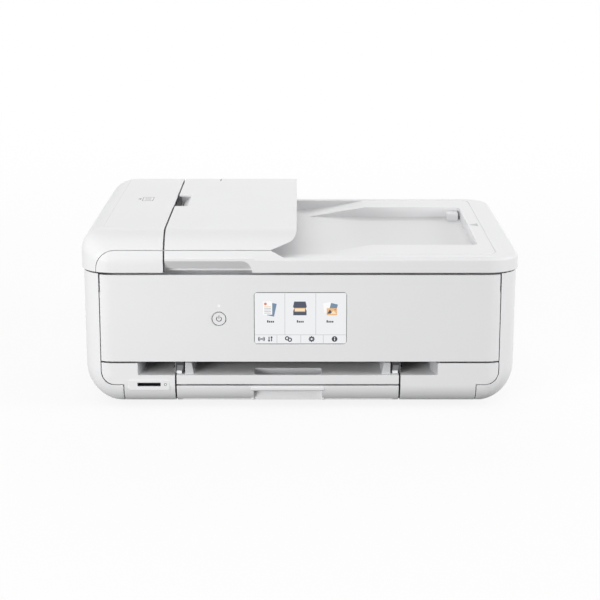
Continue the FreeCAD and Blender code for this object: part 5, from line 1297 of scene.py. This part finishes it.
# %% [markdown]
# ## Ribs of the rubber tyres
# The pick-up rollers grip paper with ribbed rubber tyres. A rib is a bar that lies on the tyre,
# and it is repeated round the axle. The tyre then repeats along the axle.

# %% Ribs of the rubber tyres
RIBS, RIB_RISE = 36, 0.18 * MM
RIB_WIDE, RIB_DEEP = 0.5 * MM, 0.6 * MM


def tyre_ribs(name, axis, centre, radius, half, tyres, step):
    """Ribs round the tyres of a roller whose axle lies along X or Y."""
    pattern = Pattern(name)
    count = pattern.size("Ribs", RIBS)
    rib_size = pattern.size("Rib", (2.0 * half, RIB_WIDE, RIB_DEEP))
    bar = pattern.node("GeometryNodeMeshCube", {}, {"Size": rib_size})
    reach = (0.0, 0.0, radius + RIB_RISE - RIB_DEEP / 2.0)
    bar = pattern.moved(bar, reach, (0.0, 0.0, 0.0 if axis == "X" else math.pi / 2.0))
    turn = pattern.node("GeometryNodeInputIndex") * math.tau / count
    spin = pattern.node("ShaderNodeCombineXYZ", {}, {axis: turn})
    spots = pattern.node("GeometryNodePoints", {}, {"Count": count})
    tyre = pattern.repeated(spots, bar, Rotation=spin)
    line = pattern.row(pattern.size("Tyres", tyres), centre, pattern.size("Tyre step", step))
    pattern.laid(pattern.repeated(line, tyre), rubber, name.removesuffix("_ribs"), "rubber")


tyre_ribs(
    "pickup_roller_ribs", "X", centre=(-28.15 * MM, 140.0 * MM, 36.0 * MM), radius=9.0 * MM,
    half=8.6 * MM, tyres=2, step=(30.0 * MM, 0.0, 0.0))
tyre_ribs(
    "feeder_pick_roller_ribs", "Y", centre=(-168.0 * MM, 0.0, 178.0 * MM), radius=8.0 * MM,
    half=23.6 * MM, tyres=1, step=(0.0, 1.0 * MM, 0.0))

# %% [markdown]
# ## Cross-head screws
# Screws hold the bottom plate and the chassis. The cross in a head could be a bump, but a bump
# has no walls. Two bars are cut out of a low cylinder instead, and the head is repeated in rows.

# %% Cross-head screws
HEAD_RADIUS, HEAD_SIDES, SCREW_RISE = 3.1 * MM, 20, 1.0 * MM
CROSS_LONG, CROSS_WIDE, CROSS_LIFT = 1.3, 0.28, 0.4
CUT = {"operation": "DIFFERENCE", "solver": "MANIFOLD"}


def cross_screws(name, body, place, counts, steps, rise):
    """A field of round screw heads with a cross cut into each, in rows along X and Y."""
    pattern = Pattern(name)
    head = pattern.node("GeometryNodeMeshCylinder", {}, {
        "Vertices": HEAD_SIDES, "Radius": pattern.size("Head radius", HEAD_RADIUS),
        "Depth": pattern.size("Head rise", abs(rise)),
    }, "Mesh")
    for long, wide in ((CROSS_LONG, CROSS_WIDE), (CROSS_WIDE, CROSS_LONG)):
        size = (long * HEAD_RADIUS, wide * HEAD_RADIUS, abs(rise))
        bar = pattern.node("GeometryNodeMeshCube", {}, {"Size": size})
        lifted = pattern.moved(bar, (0.0, 0.0, CROSS_LIFT * rise))
        sockets = {"Mesh 1": head, "Mesh 2": lifted}
        head = pattern.node("GeometryNodeMeshBoolean", CUT, sockets, "Mesh")
    clean = pattern.node("GeometryNodeMergeByDistance", {}, {"Geometry": head, "Distance": SLIVER})
    across = pattern.row(pattern.size("Across", counts[0]), place, (steps[0], 0.0, 0.0))
    along = pattern.row(pattern.size("Along", counts[1]), (0.0, 0.0, 0.0), (0.0, steps[1], 0.0))
    line = pattern.repeated(along, clean)
    pattern.laid(pattern.repeated(across, line), sheet_steel, body, "sheet_steel")


BASE_STEPS, BASE_SUNK = (120.0 * MM, 118.0 * MM), 0.4
plate_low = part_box("bottom_plate")[0][2]
base_start = (-BASE_STEPS[0], -BASE_STEPS[1], plate_low - BASE_SUNK * SCREW_RISE)
cross_screws("base_screws", "main_body", base_start, (3, 3), BASE_STEPS, -SCREW_RISE)

HEAD_INSET, CHASSIS_LIFT = 3.2 * MM, 0.1
screw_low, screw_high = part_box("chassis_screws")
chassis_steps = [screw_high[axis] - screw_low[axis] - 2.0 * HEAD_INSET for axis in (0, 1)]
chassis_start = (
    screw_low[0] + HEAD_INSET, screw_low[1] + HEAD_INSET, screw_high[2] + CHASSIS_LIFT * SCREW_RISE)
cross_screws("chassis_screw_heads", "main_body", chassis_start, (2, 2), chassis_steps, SCREW_RISE)

# %% [markdown]
# ## Ruler beside the scanner glass
# The frame round the glass has a printed ruler along two sides and an arrow at the corner where a
# sheet is laid. The marks are a row with even steps, and every fifth one is longer.

# %% Ruler beside the scanner glass
RULE_STEP, RULE_GAP = 10.0 * MM, 3.2 * MM
BACK_START, BACK_MARKS = -155.0 * MM, 32
RIGHT_START, RIGHT_MARKS = -110.0 * MM, 23
MARK_LONG, MARK_WIDE, MARK_DEEP = 2.4 * MM, 0.35 * MM, 0.1 * MM
LONGER, EVERY = 0.7, 5.0
glass_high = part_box("scanner_glass")[1]


def ruler(name, start, step, marks, mark):
    """Marks in a line, every fifth one longer."""
    pattern = Pattern(name)
    bar = pattern.node("GeometryNodeMeshCube", {}, {"Size": pattern.size("Mark", mark)})
    place = pattern.node("GeometryNodeInputIndex")
    fifth = place.math("COMPARE", place.math("MODULO", place, EVERY), 0.0, 0.1)
    along_y = mark[0] < mark[1]
    long_scale = pattern.node("ShaderNodeCombineXYZ", {}, {
        "X": fifth * (0.0 if along_y else LONGER) + 1.0,
        "Y": fifth * (LONGER if along_y else 0.0) + 1.0,
        "Z": 1.0,
    })
    line = pattern.row(pattern.size("Marks", marks), start, pattern.size("Step", step))
    pattern.laid(
        pattern.repeated(line, bar, Scale=long_scale), mark_grey, "scanner", "grey_plastic")


back_start = (BACK_START, glass_high[1] + RULE_GAP, glass_high[2])
back_mark = (MARK_WIDE, MARK_LONG, MARK_DEEP)
ruler("ruler_back", back_start, (RULE_STEP, 0.0, 0.0), BACK_MARKS, back_mark)
right_start = (glass_high[0] + RULE_GAP, RIGHT_START, glass_high[2])
right_mark = (MARK_LONG, MARK_WIDE, MARK_DEEP)
ruler("ruler_right", right_start, (0.0, RULE_STEP, 0.0), RIGHT_MARKS, right_mark)
corner_arrow = Inlay("corner_arrow", tuple(glass_high), ACROSS, TOP_UP)
corner_arrow.add([(1.6, 1.6), (7.0, 3.4), (3.4, 7.0)], mark_grey)
corner_arrow.lay("scanner", "grey_plastic")

# %% [markdown]
# ## Colours inside
# Under the scanner lie five ink tanks with coloured labels, and the scan head carries a bar of
# light beside the dark slit that it looks through. They are flat, so they are inlays too.

# %% Labels and scan light
TANK_COLOURS = {
    "black": (40, 40, 42), "cyan": (0, 146, 196), "magenta": (204, 36, 112),
    "yellow": (246, 208, 40), "grey": (132, 134, 138),
}
LABEL_SHADE, LABEL_ROUGHNESS = 0.9, 0.35
LABEL, LABEL_DOT = slab((-5.0, -16.0), (5.0, 18.0), 1.2), disc((0.0, -10.0), 2.4)
tank_low, tank_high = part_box("ink_tanks")
tank_step = (tank_high[0] - tank_low[0]) / len(TANK_COLOURS)
tank_y = (tank_low[1] + tank_high[1]) / 2.0
for index, (colour, light) in enumerate(TANK_COLOURS.items()):
    dark = tuple(LABEL_SHADE * value for value in light)
    label_finish = moulded(f"label_{colour}", light, dark, LABEL_ROUGHNESS, POLISHED)
    middle = (tank_low[0] + (index + 0.5) * tank_step, tank_y, tank_high[2])
    label = Inlay(f"tank_label_{colour}", middle, ACROSS, TOP_UP)
    label.add(LABEL, label_finish)
    label.add(LABEL_DOT, white_gloss)
    label.lay("carriage", "ink_tank")

HEAD_MARGIN = 3.0
BAR_LEFT, BAR_RIGHT, BAR_CORNER = -5.6, -2.4, 1.0
VIEW_HALF, VIEW_CORNER = 0.8, 0.4
head_low, head_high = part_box("scan_head")
head_middle = ((head_low[0] + head_high[0]) / 2.0, 0.0, head_high[2])
head_half = (head_high[1] - head_low[1]) / 2.0 / MM - HEAD_MARGIN
scan_light = Inlay("scan_light", head_middle, ACROSS, TOP_UP)
scan_light.add(slab((BAR_LEFT, -head_half), (BAR_RIGHT, head_half), BAR_CORNER), light_lens)
scan_light.add(slab((-VIEW_HALF, -head_half), (VIEW_HALF, head_half), VIEW_CORNER), tank_black)
scan_light.lay("scan_head", "light_lens")
print("labels laid:", len(TANK_COLOURS), "and a scan light of", round(2.0 * head_half, 1), "mm")

# %% [markdown]
# ## Floor and room
# The printer stands on a pale floor in a pale room. The camera, mirrors and glass see both as
# white, while the light that they throw back on the printer stays weak, so that the white shell
# doesn't clip. Near the printer the floor keeps a part of the shadow. From below the floor is
# clear, so that the underside can be looked at.

# %% Floor and room
FLOOR_HALF = 16.0
SHADOW_SHARE = 0.14
SHADOW_NEAR, SHADOW_FAR = 0.7, 2.4
AMBIENT = 0.54
SEEN_RAYS = ("Is Camera Ray", "Is Glossy Ray", "Is Transmission Ray")
PURE_WHITE = (1.0, 1.0, 1.0, 1.0)


def seen_directly(finish):
    """1 for rays from the camera, from a mirror or through glass, and 0 for light that bounces."""
    camera_ray, glossy_ray, through_ray = finish.node("ShaderNodeLightPath", output=SEEN_RAYS)
    return camera_ray.math("MINIMUM", camera_ray + glossy_ray + through_ray, 1.0)


def pale_floor():
    """A floor that looks white, keeps a part of the shadow near the printer and is clear below."""
    finish = Finish("pale_floor")
    place = finish.place()
    cloud = finish.noise(place, scale=2.0)
    seen = seen_directly(finish)
    bounced = finish.blend(cloud, tone(92, 92, 92), tone(98, 98, 98))
    paint = finish.blend(seen, bounced, tone(252, 252, 252))
    matt = finish.node("ShaderNodeBsdfDiffuse", {}, {"Color": paint}, "BSDF")
    glow = finish.node("ShaderNodeEmission", {}, {"Color": PURE_WHITE, "Strength": 1.0})
    away = finish.node("ShaderNodeVectorMath", {"operation": "LENGTH"}, {0: place}, "Value")
    ends = {"Value": away, "From Min": SHADOW_FAR, "From Max": SHADOW_NEAR}
    near = finish.node("ShaderNodeMapRange", {}, ends, "Result")
    share = seen * (1.0 - near * SHADOW_SHARE)
    upper = finish.node("ShaderNodeMixShader", {}, {0: share, 1: matt, 2: glow})
    lower = finish.node("ShaderNodeBsdfTransparent")
    below = finish.node("ShaderNodeNewGeometry", output="Backfacing")
    mixed = finish.node("ShaderNodeMixShader", {}, {0: below, 1: upper, 2: lower})
    finish.node("ShaderNodeOutputMaterial", {}, {"Surface": mixed})
    return finish.owner


floor_mesh = bpy.data.meshes.new("floor")
floor_ends = slab((-FLOOR_HALF, -FLOOR_HALF), (FLOOR_HALF, FLOOR_HALF))
floor_mesh.from_pydata([(x, y, cad_box[0][2]) for x, y in floor_ends], [], [(0, 1, 2, 3)])
floor_mesh.materials.append(pale_floor())
floor = bpy.data.objects.new("floor", floor_mesh)
bpy.context.scene.collection.objects.link(floor)

world = bpy.data.worlds.new("room")
bpy.context.scene.world = world
room = Finish("room", world)
room_colour = room.blend(seen_directly(room), (AMBIENT, AMBIENT, AMBIENT, 1.0), PURE_WHITE)
backdrop = room.node("ShaderNodeBackground", {}, {"Color": room_colour, "Strength": 1.0})
room.node("ShaderNodeOutputWorld", {}, {"Surface": backdrop})
print("floor and room made")

# %% [markdown]
# ## Lamps
# All lamps are large and soft. One stands behind and above and lights the top, a low one at the
# front left makes the front fall off to the right, and one at each side lights the round corners,
# the left one weakly.

# %% Lamps
TARGET = Vector((0.0, 0.0, 0.1))


def softbox(name, place, width, height, power):
    """A large soft lamp that faces the printer."""
    data = bpy.data.lights.new(name, "AREA")
    data.shape = "RECTANGLE"
    data.size = width
    data.size_y = height
    data.energy = power
    lamp = bpy.data.objects.new(name, data)
    lamp.location = place
    lamp.rotation_euler = (TARGET - Vector(place)).to_track_quat("-Z", "Y").to_euler()
    bpy.context.scene.collection.objects.link(lamp)


softbox("lamp_over", (0.0, 2.5, 1.7), width=2.4, height=1.6, power=22.5)
softbox("lamp_front", (-1.5, -2.0, 0.45), width=1.4, height=0.6, power=39.0)
softbox("lamp_left", (-2.4, 0.6, 0.6), width=0.9, height=1.0, power=2.0)
softbox("lamp_right", (2.4, -0.5, 0.6), width=0.9, height=1.0, power=34.0)

# %% [markdown]
# ## Finish
# The looks must not change the size of the part. The CAD model's box is printed at the start.

# %% Finish
print("scene built")
